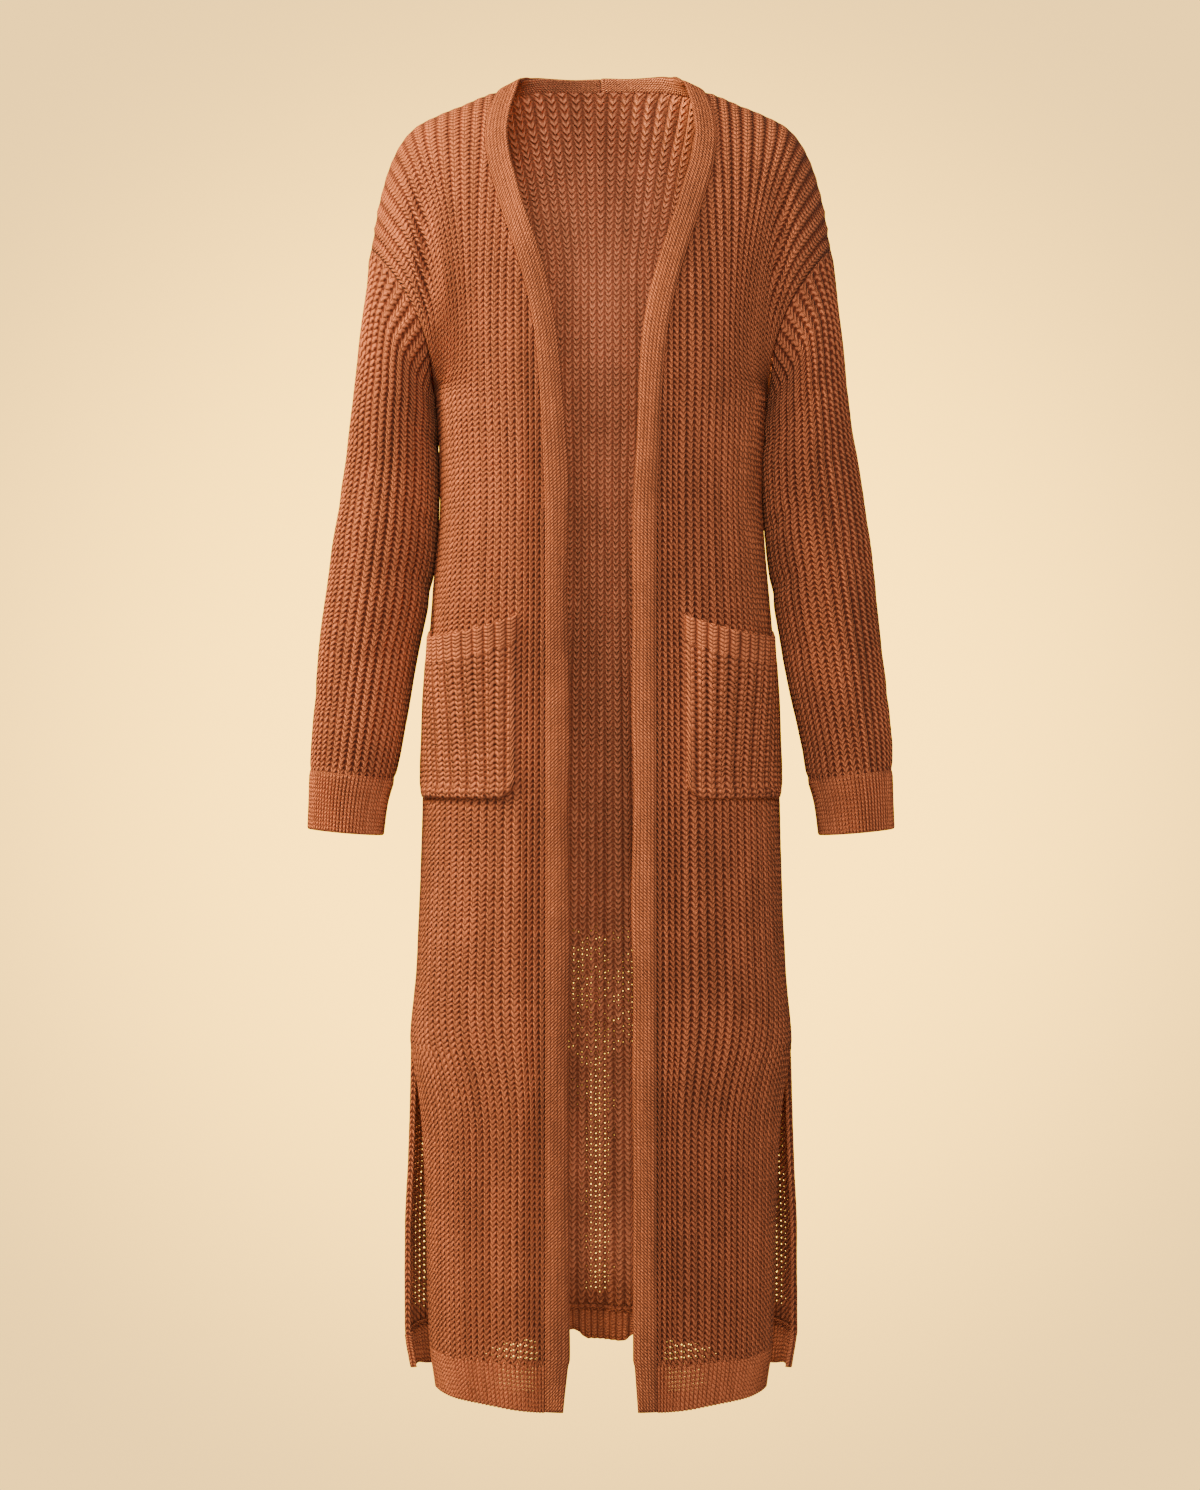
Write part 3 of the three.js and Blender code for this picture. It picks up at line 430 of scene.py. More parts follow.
def add_columns(points, out, fields, free, first=False, **hook):
    """Adds the hooked edge's columns at one side of a grid; the other fields go on as they are
    there, a little further along.
    """
    side, sign = (0, -1) if first else (-1, 1)
    step = points[:, 1] - points[:, 0] if first else points[:, -1] - points[:, -2]
    along = unit(step) * (-1 if first else 1)
    lines = np.stack(hooked(points[:, side], out[:, side], along, free, **hook), 1)
    if first:
        lines = lines[:, ::-1]
    order = lambda a, b: np.concatenate([b, a] if first else [a, b], 1)
    grown = []
    for f, pace in fields:
        step = np.arange(1, EDGE_LINES + 1)[None, :] * pace * sign
        step = step[:, ::-1] if first else step
        grown.append(order(f, f[:, side][:, None] + step))
    return order(points, lines), grown


def add_rows(points, out, fields, free, first=False, **hook):
    """The same for the first or last row of a grid."""
    turn = lambda a: np.swapaxes(a, 0, 1)
    fields = [(turn(f), pace) for f, pace in fields]
    points, grown = add_columns(turn(points), turn(out), fields, free, first, **hook)
    return turn(points), [turn(f) for f in grown]


class KnitGrid:
    """A knitted grid of points (mm) with its outward directions, its numbers of ribs and courses,
    and how loose the knit is at each point. They all grow together when an edge is added.
    """

    def __init__(self, points, out, wale, course, loose):
        """Keeps the grid and what goes with it."""
        self.points, self.out = points, out
        self.wale, self.course, self.loose = wale, course, loose

    def grow(self, added, axis, first):
        """Takes in a longer grid, and repeats the edge's outward directions along it."""
        self.points, (self.wale, self.course, self.loose) = added
        more = [(0, 0)] * 3
        more[axis] = (EDGE_LINES, 0) if first else (0, EDGE_LINES)
        self.out = np.pad(self.out, more, mode="edge")

    def side(self, free=0.0, first=False, pace=0.25, **hook):
        """Adds an edge beside the last column, or the first."""
        fields = [(self.wale, pace), (self.course, 0), (self.loose, 0)]
        self.grow(add_columns(self.points, self.out, fields, free, first, **hook), 1, first)

    def end(self, free=0.0, first=False, pace=0.3, **hook):
        """Adds an edge past the last row, or the first."""
        fields = [(self.wale, 0), (self.course, pace), (self.loose, 0)]
        self.grow(add_rows(self.points, self.out, fields, free, first, **hook), 0, first)

    def map(self):
        """The grid's own map: rib number across and course number up."""
        return np.stack([self.wale, self.course], -1)

    def mesh(self, name, ribs_round=0, flip=False, mirror=False):
        """Puts the grid into a mesh. On a tube the ribs run on past the last column to the first."""
        uv = self.map()
        if ribs_round:
            uv = np.concatenate([uv, uv[:, :1] + np.array([ribs_round, 0])], 1)
        return mesh_piece(name, self.points, uv, self.loose, flip, ribs_round > 0, mirror=mirror)


def rib_numbers(grid):
    """Rib number of every point, counted across."""
    return np.broadcast_to(np.arange(grid.shape[1]) / COLUMNS, grid.shape[:2])


def row_numbers(grid, pace=1.0):
    """Row number of every point, counted up, times a pace."""
    return np.broadcast_to(np.arange(len(grid))[:, None] * pace, grid.shape[:2])


def mesh_piece(name, points, uv, loose, flip=False, loop=False, keep=None, mirror=False):
    """Puts a grid of points (mm) into a mesh, with its own map of ribs and courses and how loose
    the knit is at each point.
    """
    rows, cols = points.shape[:2]
    if mirror:
        points = points * np.array([-1, 1, 1])
        flip = not flip
    index = np.arange(rows * cols).reshape(rows, cols)
    j, i = np.mgrid[0:rows - 1, 0:(cols if loop else cols - 1)]
    i_next = (i + 1) % cols
    quads = [index[j, i], index[j, i_next], index[j + 1, i_next], index[j + 1, i]]
    quads = np.stack(quads, -1).reshape(-1, 4)
    corners = np.stack([uv[j, i], uv[j, i + 1], uv[j + 1, i + 1], uv[j + 1, i]], 2).reshape(-1, 4, 2)
    if keep is not None:
        mask = keep[j, i].ravel()
        quads, corners = quads[mask], corners[mask]
    if flip:
        quads, corners = quads[:, ::-1], corners[:, ::-1]
    used, quads = np.unique(quads, return_inverse=True)
    quads = quads.reshape(-1, 4)
    co = points.reshape(-1, 3)[used] / 1000
    return bpy_mesh(name, co, quads, corners, loose.reshape(-1)[used])


def bpy_mesh(name, co, quads, corners, loose):
    """A smooth mesh object of quads (metres), with its map and its looseness."""
    mesh = bpy.data.meshes.new(name)
    mesh.vertices.add(len(co))
    mesh.vertices.foreach_set("co", co.astype(np.float32).ravel())
    mesh.loops.add(quads.size)
    mesh.loops.foreach_set("vertex_index", quads.astype(np.int32).ravel())
    mesh.polygons.add(len(quads))
    mesh.polygons.foreach_set("loop_start", np.arange(0, quads.size, 4, dtype=np.int32))
    mesh.polygons.foreach_set("use_smooth", np.ones(len(quads), bool))
    layer = mesh.uv_layers.new(name="Knit")
    layer.uv.foreach_set("vector", corners.astype(np.float32).ravel())
    mesh.update(calc_edges=True)
    mark = mesh.attributes.new("loose", "FLOAT", "POINT")
    mark.data.foreach_set("value", np.asarray(loose, np.float32))
    obj = bpy.data.objects.new(name, mesh)
    bpy.context.scene.collection.objects.link(obj)
    return obj


def dress(obj, key, word=None):
    """Gives a piece its cloth, as its row of the cuts says, hides the CAD node that it stands for, and hangs
    it under the root.
    """
    recipe, slot, flat, hangs = CUTS[key]
    hangs = [name.format(word) for name in hangs]
    obj.data.materials.append(cloth(recipe))
    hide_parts(f"{key}_{word}" if word else key)
    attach(obj, "root")


# ---- materials ----
def group(name, inputs, outputs):
    """An empty node group with named sockets, and its two ends."""
    tree = bpy.data.node_groups.new(name, "ShaderNodeTree")
    for label, value in inputs:
        kind = "NodeSocketColor" if isinstance(value, tuple) else "NodeSocketFloat"
        socket = tree.interface.new_socket(name=label, in_out="INPUT", socket_type=kind)
        socket.default_value = value
    for label, kind in outputs:
        tree.interface.new_socket(name=label, in_out="OUTPUT", socket_type=kind)
    return tree, tree.nodes.new("NodeGroupInput"), tree.nodes.new("NodeGroupOutput")


class Wires:
    """Short ways to add maths nodes to a tree; a plain number is set on the socket itself."""

    def __init__(self, tree):
        """Keeps the tree that the nodes go into."""
        self.tree = tree

    def node(self, kind, **fields):
        """A new node with its settings."""
        n = self.tree.nodes.new(kind)
        for k, v in fields.items():
            setattr(n, k, v)
        return n

    def into(self, socket, value):
        """Links a socket to another one, or sets it to a plain value."""
        if isinstance(value, bpy.types.NodeSocket):
            self.tree.links.new(value, socket)
        else:
            socket.default_value = value

    def sum(self, operation, *values):
        """The result of one maths operation."""
        n = self.node("ShaderNodeMath", operation=operation)
        for socket, value in zip(n.inputs, values):
            self.into(socket, value)
        return n.outputs[0]

    def plus(self, a, b):
        """a + b."""
        return self.sum("ADD", a, b)

    def minus(self, a, b):
        """a - b."""
        return self.sum("SUBTRACT", a, b)

    def times(self, a, b):
        """a * b."""
        return self.sum("MULTIPLY", a, b)

    def over(self, a, b):
        """a / b."""
        return self.sum("DIVIDE", a, b)

    def power(self, a, b):
        """a to the power of b."""
        return self.sum("POWER", a, b)

    def most(self, a, b):
        """The larger of two."""
        return self.sum("MAXIMUM", a, b)

    def oval(self, across, up, size):
        """Distance from a hole's middle, 1 on its rim: sqrt((across / 1.25 size)^2 + (up / size)^2)."""
        wide = self.power(self.over(across, self.times(size, 1.25)), 2.0)
        return self.sum("SQRT", self.plus(wide, self.power(self.over(up, size), 2.0)))

    def ramp(self, value, low, high, a=0.0, b=1.0):
        """a below low, b above high, with a smooth step between."""
        n = self.node("ShaderNodeMapRange", interpolation_type="SMOOTHSTEP")
        values = {"Value": value, "From Min": low, "From Max": high, "To Min": a, "To Max": b}
        for key, v in values.items():
            self.into(n.inputs[key], v)
        return n.outputs[0]

    def blend(self, share, a, b, mode="MIX"):
        """a where share is 0 and b where it is 1, as colours, or their product."""
        n = self.node("ShaderNodeMix", data_type="RGBA", blend_type=mode)
        for key, v in (("Factor_Float", share), ("A_Color", a), ("B_Color", b)):
            self.into(next(s for s in n.inputs if s.identifier == key), v)
        return next(s for s in n.outputs if s.identifier == "Result_Color")


def stitch_group():
    """Stitches of a rib knit. Each rib (wale) carries two legs to a course that lean up and away
    from the rib's middle; the furrow between ribs has a hole at each course. Puts out the height
    of the yarn, how much painted shade a point takes (in the holes, along the furrows, under the
    legs and in the middle of each rib), and how open the hole is.
    """
    inputs = [
        ("Wale", 0.0), ("Course", 0.0), ("Lean", 0.7), ("One Way", 0.0),
        ("Stagger", 0.0), ("Furrow Shade", 0.5), ("Hole Size", 0.3), ("Crack Shade", 0.7),
    ]
    outputs = [(label, "NodeSocketFloat") for label in ("Height", "Shade", "Hole")]
    tree, start, end = group("Rib stitches", inputs, outputs)
    w = Wires(tree)
    wale, course, lean, one_way, stagger, furrow, hole, crack_shade_strength = (start.outputs[k] for k in range(8))
    signed = w.times(w.minus(w.sum("FRACT", wale), 0.5), 2.0)  # -1 to 1 across a rib
    away = w.sum("ABSOLUTE", signed)
    cross = w.plus(w.times(away, w.minus(1.0, one_way)), w.times(signed, one_way))
    f = w.sum("FRACT", w.minus(course, w.times(cross, lean)))  # 0 at the gap under each leg
    off_middle = w.sum("ABSOLUTE", w.times(w.minus(f, 0.5), 2.0))
    round_leg = w.minus(1.0, w.power(off_middle, 2.0))
    crown = w.minus(1.0, w.power(away, 3.0))
    split = w.ramp(away, 0.0, 0.22, 0.55, 1.0)  # the small dent between a stitch's two legs
    split = w.most(split, one_way)
    height = w.times(w.times(round_leg, crown), split)
    # holes lie on the furrow, once a course, half a course off in every second furrow where staggered
    which = w.sum("FLOOR", w.plus(wale, 0.5))
    turn = w.times(w.sum("MODULO", which, 2.0), w.times(stagger, 0.5))
    turned = w.plus(w.minus(w.plus(course, turn), lean), 0.5)
    up = w.minus(w.sum("FRACT", turned), 0.5)
    reach = w.oval(w.minus(1.0, away), up, hole)
    # painted shade in and round the hole on the furrow
    dark = w.ramp(reach, 0.55, 1.15, 1.0, 0.0)
    # a loose knit also opens in the middle of each rib, half a course off
    half_up = w.minus(w.sum("FRACT", w.plus(w.plus(course, turn), 0.5)), 0.5)
    middle = w.oval(away, half_up, hole)
    gap = w.ramp(w.sum("MINIMUM", reach, middle), 0.0, 0.74, 1.0, 0.0)
    # painted shade: mid-rib spots (none on a one-way knit), the furrow, and the gap under each leg
    dent = w.times(w.ramp(middle, 0.4, 1.2, 1.0, 0.0), w.minus(0.4, one_way))
    furrow_shade = w.times(w.ramp(away, 0.5, 0.95), furrow)
    crack_shade = w.times(w.ramp(round_leg, 0.0, 0.75, 1.0, 0.0), crack_shade_strength)
    shade = w.most(w.most(w.most(dark, furrow_shade), crack_shade), dent)
    for socket, value in zip(end.inputs, (height, shade, gap)):
        w.into(socket, value)


def yarn_group():
    """Fibres of a spun yarn: fine noise for loose fibre, a coarser one for thick and thin places,
    and a slow one for the dye. Puts out a small height and a lightness factor round 1.
    """
    outputs = [(label, "NodeSocketFloat") for label in ("Height", "Lightness")]
    tree, start, end = group("Spun yarn", [("Fuzz", 0.5), ("Unevenness", 0.5)], outputs)
    fuzz, unevenness = start.outputs[0], start.outputs[1]
    w = Wires(tree)
    place = w.node("ShaderNodeTexCoord").outputs["Object"]

    def noise(scale, detail):
        """Noise in place, so many grains to the metre."""
        n = w.node("ShaderNodeTexNoise")
        w.into(n.inputs["Vector"], place)
        for key, v in (("Scale", scale), ("Detail", detail), ("Roughness", 0.6)):
            n.inputs[key].default_value = v
        return n.outputs["Fac"]

    fine, coarse, slow = noise(1500.0, 2.0), noise(420.0, 2.0), noise(14.0, 3.0)
    w.into(end.inputs[0], w.times(fine, fuzz))
    a = w.ramp(fine, 0.25, 0.75, -0.5, 0.5)
    b = w.ramp(coarse, 0.3, 0.7, -0.5, 0.5)
    c = w.ramp(slow, 0.3, 0.7, -0.5, 0.5)
    fibre = w.times(a, w.times(fuzz, 0.5))
    uneven = w.times(w.plus(w.times(b, 0.35), w.times(c, 0.3)), unevenness)
    w.into(end.inputs[1], w.plus(w.plus(fibre, uneven), 1.0))


# values of the stitch group and the depth of the relief (metres) that each cloth starts from
# the furrow and crack values set how strong the painted shade is along the furrows and under the legs
PLAIN_KNIT = {
    "Lean": 0.7, "One Way": 0.0, "Stagger": 0.0, "Furrow Shade": 0.68, "Hole Size": 0.46, "Crack Shade": 0.85,
    "Depth": 0.0026,
}
CLOTHS = {
    "Rust rib knit": {},
    "Rust fine rib": {"Lean": 0.6, "Furrow Shade": 0.9, "Hole Size": 0.24, "Crack Shade": 0.7, "Depth": 0.0012},
    "Rust twill band": {
        "Lean": 0.5, "One Way": 1.0, "Furrow Shade": 0.5, "Hole Size": 0.14, "Crack Shade": 1.0, "Depth": 0.0022,
    },
    "Rust pocket rib": {"Lean": 0.6, "Furrow Shade": 0.9, "Hole Size": 0.2, "Crack Shade": 0.9, "Depth": 0.0018},
    "Rust open knit": {"Lean": 0.6, "Stagger": 1.0, "Furrow Shade": 0.45, "Hole Size": 0.42},
}


def knit_material(name, values):
    """Rust wool-mix knit: the stitch group on the piece's own map, with the yarn group for fibre
    and dye.
    """
    if "Rib stitches" not in bpy.data.node_groups:
        stitch_group()
        yarn_group()
    m = bpy.data.materials.new(name)
    m.use_nodes = True
    m.use_backface_culling = False
    tree = m.node_tree
    w = Wires(tree)
    shader = tree.nodes["Principled BSDF"]
    uv = w.node("ShaderNodeUVMap", uv_map="Knit")
    # stitches are never quite even: a slow wobble in place
    wobble = w.node("ShaderNodeTexNoise", noise_dimensions="2D")
    w.into(wobble.inputs["Vector"], uv.outputs[0])
    wobble.inputs["Scale"].default_value, wobble.inputs["Detail"].default_value = 0.3, 1.0
    shift = w.node("ShaderNodeVectorMath", operation="MULTIPLY_ADD")
    w.into(shift.inputs[0], wobble.outputs["Color"])
    shift.inputs[1].default_value = (0.12, 0.8, 0.0)
    w.into(shift.inputs[2], uv.outputs[0])
    parts = w.node("ShaderNodeSeparateXYZ")
    w.into(parts.inputs[0], shift.outputs[0])
    stitches = w.node("ShaderNodeGroup", node_tree=bpy.data.node_groups["Rib stitches"])
    yarn = w.node("ShaderNodeGroup", node_tree=bpy.data.node_groups["Spun yarn"])
    yarn.inputs[0].default_value, yarn.inputs[1].default_value = 0.6, 0.7
    # seen from inside, the ribs are the outside's furrows
    inside = w.node("ShaderNodeNewGeometry").outputs["Backfacing"]
    w.into(stitches.inputs["Wale"], w.plus(parts.outputs["X"], w.times(inside, 0.5)))
    w.into(stitches.inputs["Course"], parts.outputs["Y"])
    for key in ("Lean", "One Way", "Stagger", "Furrow Shade", "Hole Size", "Crack Shade"):
        stitches.inputs[key].default_value = values[key]
    light, deep = tuple(COLOURS.yarn), tuple(COLOURS.shade)
    # painted shade: the stitch group's shade mixes in the shade colour, a fifth less on the reverse side
    shade = w.times(stitches.outputs["Shade"], w.minus(1.0, w.times(inside, 0.2)))
    colour = w.blend(shade, light, deep)
    # some ribs took the dye a little darker
    strip = w.node("ShaderNodeTexNoise", noise_dimensions="2D")
    narrow = w.node("ShaderNodeVectorMath", operation="MULTIPLY")
    w.into(narrow.inputs[0], uv.outputs[0])
    narrow.inputs[1].default_value = (0.9, 0.03, 0.0)
    w.into(strip.inputs["Vector"], narrow.outputs[0])
    strip.inputs["Scale"].default_value, strip.inputs["Detail"].default_value = 1.0, 1.0
    tint = w.times(yarn.outputs["Lightness"], w.ramp(strip.outputs["Fac"], 0.3, 0.7, 0.88, 1.12))
    # painted light: the reverse is lit up in its colour, away from the sides and the hem
    at = w.node("ShaderNodeSeparateXYZ")
    w.into(at.inputs[0], w.node("ShaderNodeTexCoord").outputs["Object"])
    painted_inside_light = w.times(inside, w.ramp(w.sum("ABSOLUTE", at.outputs["X"]), 0.105, 0.135, 1.0, 0.0))
    painted_inside_light = w.times(painted_inside_light, w.ramp(at.outputs["Z"], -1.14, -1.07))
    if values["One Way"]:
        # the band's painted light lies instead on the strip's inner face behind the neck
        painted_inside_light = w.times(w.ramp(at.outputs["Y"], 0.005, 0.03), w.ramp(parts.outputs["X"], 7.8, 8.4))
    # the yarn's dye and unevenness, times the painted light, which lifts blue most and red least
    spun = w.node("ShaderNodeCombineColor")
    for k, more in enumerate((0.6, 0.85, 1.15)):
        w.into(spun.inputs[k], w.times(tint, w.plus(1.0, w.times(painted_inside_light, more))))
    colour = w.blend(1.0, colour, spun.outputs[0], "MULTIPLY")
    w.into(shader.inputs["Base Color"], colour)
    shader.inputs["Roughness"].default_value = 0.92
    shader.inputs["Specular IOR Level"].default_value = 0.25
    shader.inputs["Sheen Weight"].default_value = 0.05
    shader.inputs["Sheen Roughness"].default_value = 0.5
    shader.inputs["Sheen Tint"].default_value = (1.0, 0.55, 0.3, 1.0)
    height = w.plus(stitches.outputs["Height"], w.times(yarn.outputs["Height"], 0.25))
    relief = w.node("ShaderNodeBump")
    relief.inputs["Strength"].default_value = 1.0
    relief.inputs["Distance"].default_value = values["Depth"]
    w.into(relief.inputs["Height"], height)
    w.into(shader.inputs["Normal"], relief.outputs[0])
    loose = w.node("ShaderNodeAttribute", attribute_name="loose")
    # each hole is as open as the knit is loose there, more or less from one to the next
    cell = w.node("ShaderNodeTexWhiteNoise", noise_dimensions="2D")
    cell_place = w.node("ShaderNodeCombineXYZ")
    for socket, axis in zip(cell_place.inputs, "XY"):
        w.into(socket, w.sum("FLOOR", w.plus(w.times(parts.outputs[axis], 2.0), 0.5)))
    w.into(cell.inputs["Vector"], cell_place.outputs[0])
    open_at = w.times(loose.outputs["Fac"], w.plus(w.times(cell.outputs["Value"], 0.32), 0.84))
    hole_at = w.times(stitches.outputs["Hole"], open_at)
    w.into(shader.inputs["Alpha"], w.ramp(hole_at, 0.6, 0.68, 1.0, 0.0))
    return m


def cloth(key):
    """The cloths of the garment, each made once."""
    return bpy.data.materials.get(key) or knit_material(key, {**PLAIN_KNIT, **CLOTHS[key]})


# ---- user sizes and colours ----
class CardiganSizes(bpy.types.PropertyGroup):
    """Sizes of the knit that a user may change."""

    rib_height: bpy.props.FloatProperty(
        name="Rib height", description="How far a rib stands over its furrow",
        default=0.0027, min=0.0, max=0.004, unit="LENGTH",
    )
    course: bpy.props.FloatProperty(
        name="Course", description="Height of one row of stitches",
        default=0.0049, min=0.002, max=0.01, unit="LENGTH",
    )
    looseness: bpy.props.FloatProperty(
        name="Looseness", description="How open the loose parts of the lower body are",
        default=0.9, min=0.0, max=1.0, subtype="FACTOR",
    )


class CardiganColours(bpy.types.PropertyGroup):
    """Colours of the yarn and the studio."""

    yarn: bpy.props.FloatVectorProperty(
        name="Yarn", description="Colour of the yarn in the light",
        subtype="COLOR", size=4, min=0, max=1, default=(0.62, 0.160, 0.058, 1.0),
    )
    # painted shade: the colour mixed in where the stitches lie in shade
    shade: bpy.props.FloatVectorProperty(
        name="Yarn in shade", description="Colour deep between the stitches",
        subtype="COLOR", size=4, min=0, max=1, default=(0.13, 0.022, 0.007, 1.0),
    )
    backdrop: bpy.props.FloatVectorProperty(
        name="Backdrop", description="Colour of the backdrop's middle",
        subtype="COLOR", size=4, min=0, default=(6.1, 3.42, 0.41, 1.0),
    )


def course_rows(bottom, top, course):
    """Heights of half courses from bottom to top, as near to the course as fits."""
    return np.linspace(bottom, top, 2 * max(2, round((top - bottom) / course)) + 1)


def loose_back(x, z):
    """How loose the back is: open lower down, more so towards the middle and the slits, and tight
    again over the hem.
    """
    low = smooth((-660 - z) / 150) * smooth((z + 1128) / 14)
    fine = 0.05 * drift(x, z, 5, 45, 2)
    middle = mix(0.74, 0.5, smooth((-820 - z) / 160))
    middle = middle + 0.46 * bell(x + 2, 13) * smooth((-850 - z) / 110) + fine
    away = np.abs(x)
    slit = smooth((away - 100) / 30) * (1 - 0.5 * smooth((away - 171) / 9))
    slit = slit * smooth((-905 - z) / 50) * 0.95 + fine
    return np.clip(low * np.maximum(middle, slit), 0, 1) * SIZES.looseness


def loose_front(x, z):
    """A front is open only in a patch over its hem."""
    patch = smooth((x - 40) / 18) * smooth((128 - x) / 34) * smooth((-1050 - z) / 42)
    return np.clip(patch * (0.86 + 0.14 * drift(x, z, 9, 40, 2)), 0, 1) * SIZES.looseness


def seam_fade(shape, left=0, right=0, bottom=0, top=0):
    """1 inside a grid and 0.12 at the sewn edges, rising over so many rows or columns."""
    rows, cols = shape
    j, i = np.arange(rows)[:, None], np.arange(cols)[None, :]
    fade = np.ones(shape)
    for count, d in ((left, i), (right, cols - 1 - i), (bottom, j), (top, rows - 1 - j)):
        if count:
            fade = fade * mix(0.12, 1, smooth(d / count))
    return fade


def body_levels(course, upper):
    """Levels of the body's rows: half courses up to the underarm, then so many shares of the way
    up the shoulder.
    """
    low = course_rows(HEM_TOP, UNDERARM_Z, course)[:-1]
    return np.concatenate([low, np.linspace(0, 1, upper + 1)]), len(low)


def course_map(grid, low, course):
    """Course number at each point: counted by rows below the underarm, and by the length up each
    column above it.
    """
    rows = np.arange(low + 1) / 2.0
    below = np.broadcast_to(rows[:, None], (low + 1, grid.shape[1]))
    up = np.cumsum(np.linalg.norm(np.diff(grid[low:], axis=0), axis=2), 0) / course
    return np.concatenate([below, rows[-1] + up])


def hem_lift(face, x):
    """The hem's lower edge runs up a little towards the front's side and down towards the back's,
    whose middle hangs lowest between two shallow arches.
    """
    if face == "front":
        return 4 * smooth((x - 60) / 80)
    away, off = np.abs(x), np.abs(x - 4)
    arches = 8 * smooth((off - 16) / 13) * smooth((62 - off) / 26)
    return -9 * smooth((away - 60) / 100) + 15 * smooth((away - 158) / 24) + arches


def whole_back(levels, columns):
    """Both halves of the back in one grid, its neck edge laid on the neck seam."""
    half = half_panel("back", levels, columns, 0.0)
    plain = half.copy()
    low = (np.asarray(levels) < 0)[:, None]
    plain[..., 1] += folds(BACK_FOLDS, half[..., 0], half[..., 2]) * low
    left = plain[:, :0:-1] * np.array([-1, 1, 1])
    left[..., 1] -= folds(BACK_FOLDS, left[..., 0], left[..., 2]) * low
    return np.concatenate([left, half], 1)


SIZES = COLOURS = None  # the user's sizes and colours, set when an operator runs


def build_back():
    """The back panel, from the hem's rib to the neck and shoulders."""
    levels, _ = body_levels(SIZES.course * 1000 * BACK_STRETCH, UPPER_ROWS["back"])
    grid = whole_back(levels, BACK_RIBS * 2)
    # the top edge: the neck seam in the middle, the ridge beyond it
    from_middle = np.abs(grid[-1, :, 0])
    neck = from_middle < NECK_END - 0.5
    up_x = np.sign(grid[-1, :, 0]) * column(NECK, from_middle, 3)
    up = unit(np.stack([up_x, column(NECK, from_middle, 4), column(NECK, from_middle, 5)], -1))
    target = grid[-1].copy()
    target[:, 1] = np.where(neck, column(NECK, from_middle, 1), 0)
    target[:, 2] = np.where(neck, column(NECK, from_middle, 2), ridge_z(from_middle))
    face = unit(np.cross(up, unit(np.gradient(target, axis=0))))
    face *= np.where(face[:, 1:2] < 0, -1, 1)
    target = np.where(neck[:, None], target + face * (COVER * 0.75) - up * 0.5, target)
    bent = 22  # the rows that lean over to meet that edge
    pull = (np.arange(len(grid)) - (len(grid) - 1 - bent)) / bent
    grid = grid + smooth(pull)[:, None, None] * (target - grid[-1])
    out = normals(grid, -1)
    wale, courses = rib_numbers(grid), row_numbers(grid) / 2.0
    sides = np.where(grid[..., 2] > SLIT_Z - 4, seam_fade(grid.shape[:2], left=4, right=4), 1)
    points = knit(grid, out, wale, courses, seam_fade(grid.shape[:2], top=3) * sides, 11)
    knitted = KnitGrid(points, out, wale, courses, loose_back(grid[..., 0], grid[..., 2]))
    free = smooth((SLIT_Z - grid[:, 0, 2]) / 14)
    knitted.side(free)
    knitted.side(free, first=True)
    neck = np.pad(neck, EDGE_LINES)[:, None]
    knitted.end(sewn=(np.where(neck, 1.2, 0.6), np.where(neck, -0.1, 0.5)))
    knitted.end(first=True, sewn=(0.8, 0.8))
    knitted.loose[:, :4] = 0
    knitted.loose[:, -4:] = 0
    return knitted.mesh("back_panel_knit", flip=True)


def front_base(levels, columns=FRONT_RIBS * 4):
    """A front's smooth surface. Its inner edge follows the band's seam low down and is upright
    above.
    """
    levels = np.asarray(levels)
    inner = np.where(levels < -400, column(FRONT_SEAM, levels, 1) + 0.4, FRONT_EDGE)
    return half_panel("front", levels, columns, inner) * np.array([1, -1, 1])


def build_front(side):
    """A front panel: full ribs up to the shoulder, cut away along the band's seam in the V."""
    course = SIZES.course * 1000
    levels, low = body_levels(course, UPPER_ROWS["front"])
    grid = front_base(levels)
    out = normals(grid, 1)
    grid[-1, :, 1] = np.where(grid[-1, :, 0] > 88, 0, grid[-1, :, 1])
    x, z = grid[..., 0], grid[..., 2]
    wale, courses = rib_numbers(grid), course_map(grid, low, course)
    sides = np.where(z > SLIT_Z - 4, seam_fade(grid.shape[:2], right=4), 1)
    fade = seam_fade(grid.shape[:2], top=4) * sides
    seam = column(FRONT_SEAM, z, 1) + SEAM_CLEAR
    fade = fade * mix(0.15, 1, smooth((x - seam) / 5))
    # deeper ribs beside the band, shallower ones on the shoulder and low down at the side
    beside_band = 1 + 0.5 * smooth((4.5 - wale) / 1.5) * smooth((-150 - z) / 80)
    on_shoulder = 1 - 0.45 * smooth((z + 150) / 90) * smooth((wale - 8) / 8)
    low_side = 1 - 0.3 * smooth((-640 - z) / 90) * smooth((wale - 11) / 5)
    deep = beside_band * on_shoulder * low_side
    seed = 21 if side > 0 else 22
    points = knit(grid, out, wale, courses, fade, seed, tall=SIZES.rib_height * 1000 * deep)
    # the pocket's pull folds the cloth in a little over its outer corner
    pull = bell(wale - 20.0 - (z + 492) * 0.02, 0.45)
    pull = pull * smooth((z + 512) / 8) * smooth((-474 - z) / 14)
    points = points - out * (3.4 * pull)[..., None]
    knitted = KnitGrid(points, out, wale, courses, loose_front(x, z))
    knitted.side(smooth((SLIT_Z - z[:, 0]) / 14))
    knitted.end(sewn=(0.8, 0.8))
    knitted.end(first=True, sewn=(0.8, 0.8))
    points, uv, loose, keep = cut_along_seam(knitted)
    name = f"front_panel_knit_{SIDE_NAMES[side]}"
    return mesh_piece(name, points, uv, loose, keep=keep, mirror=side < 0)


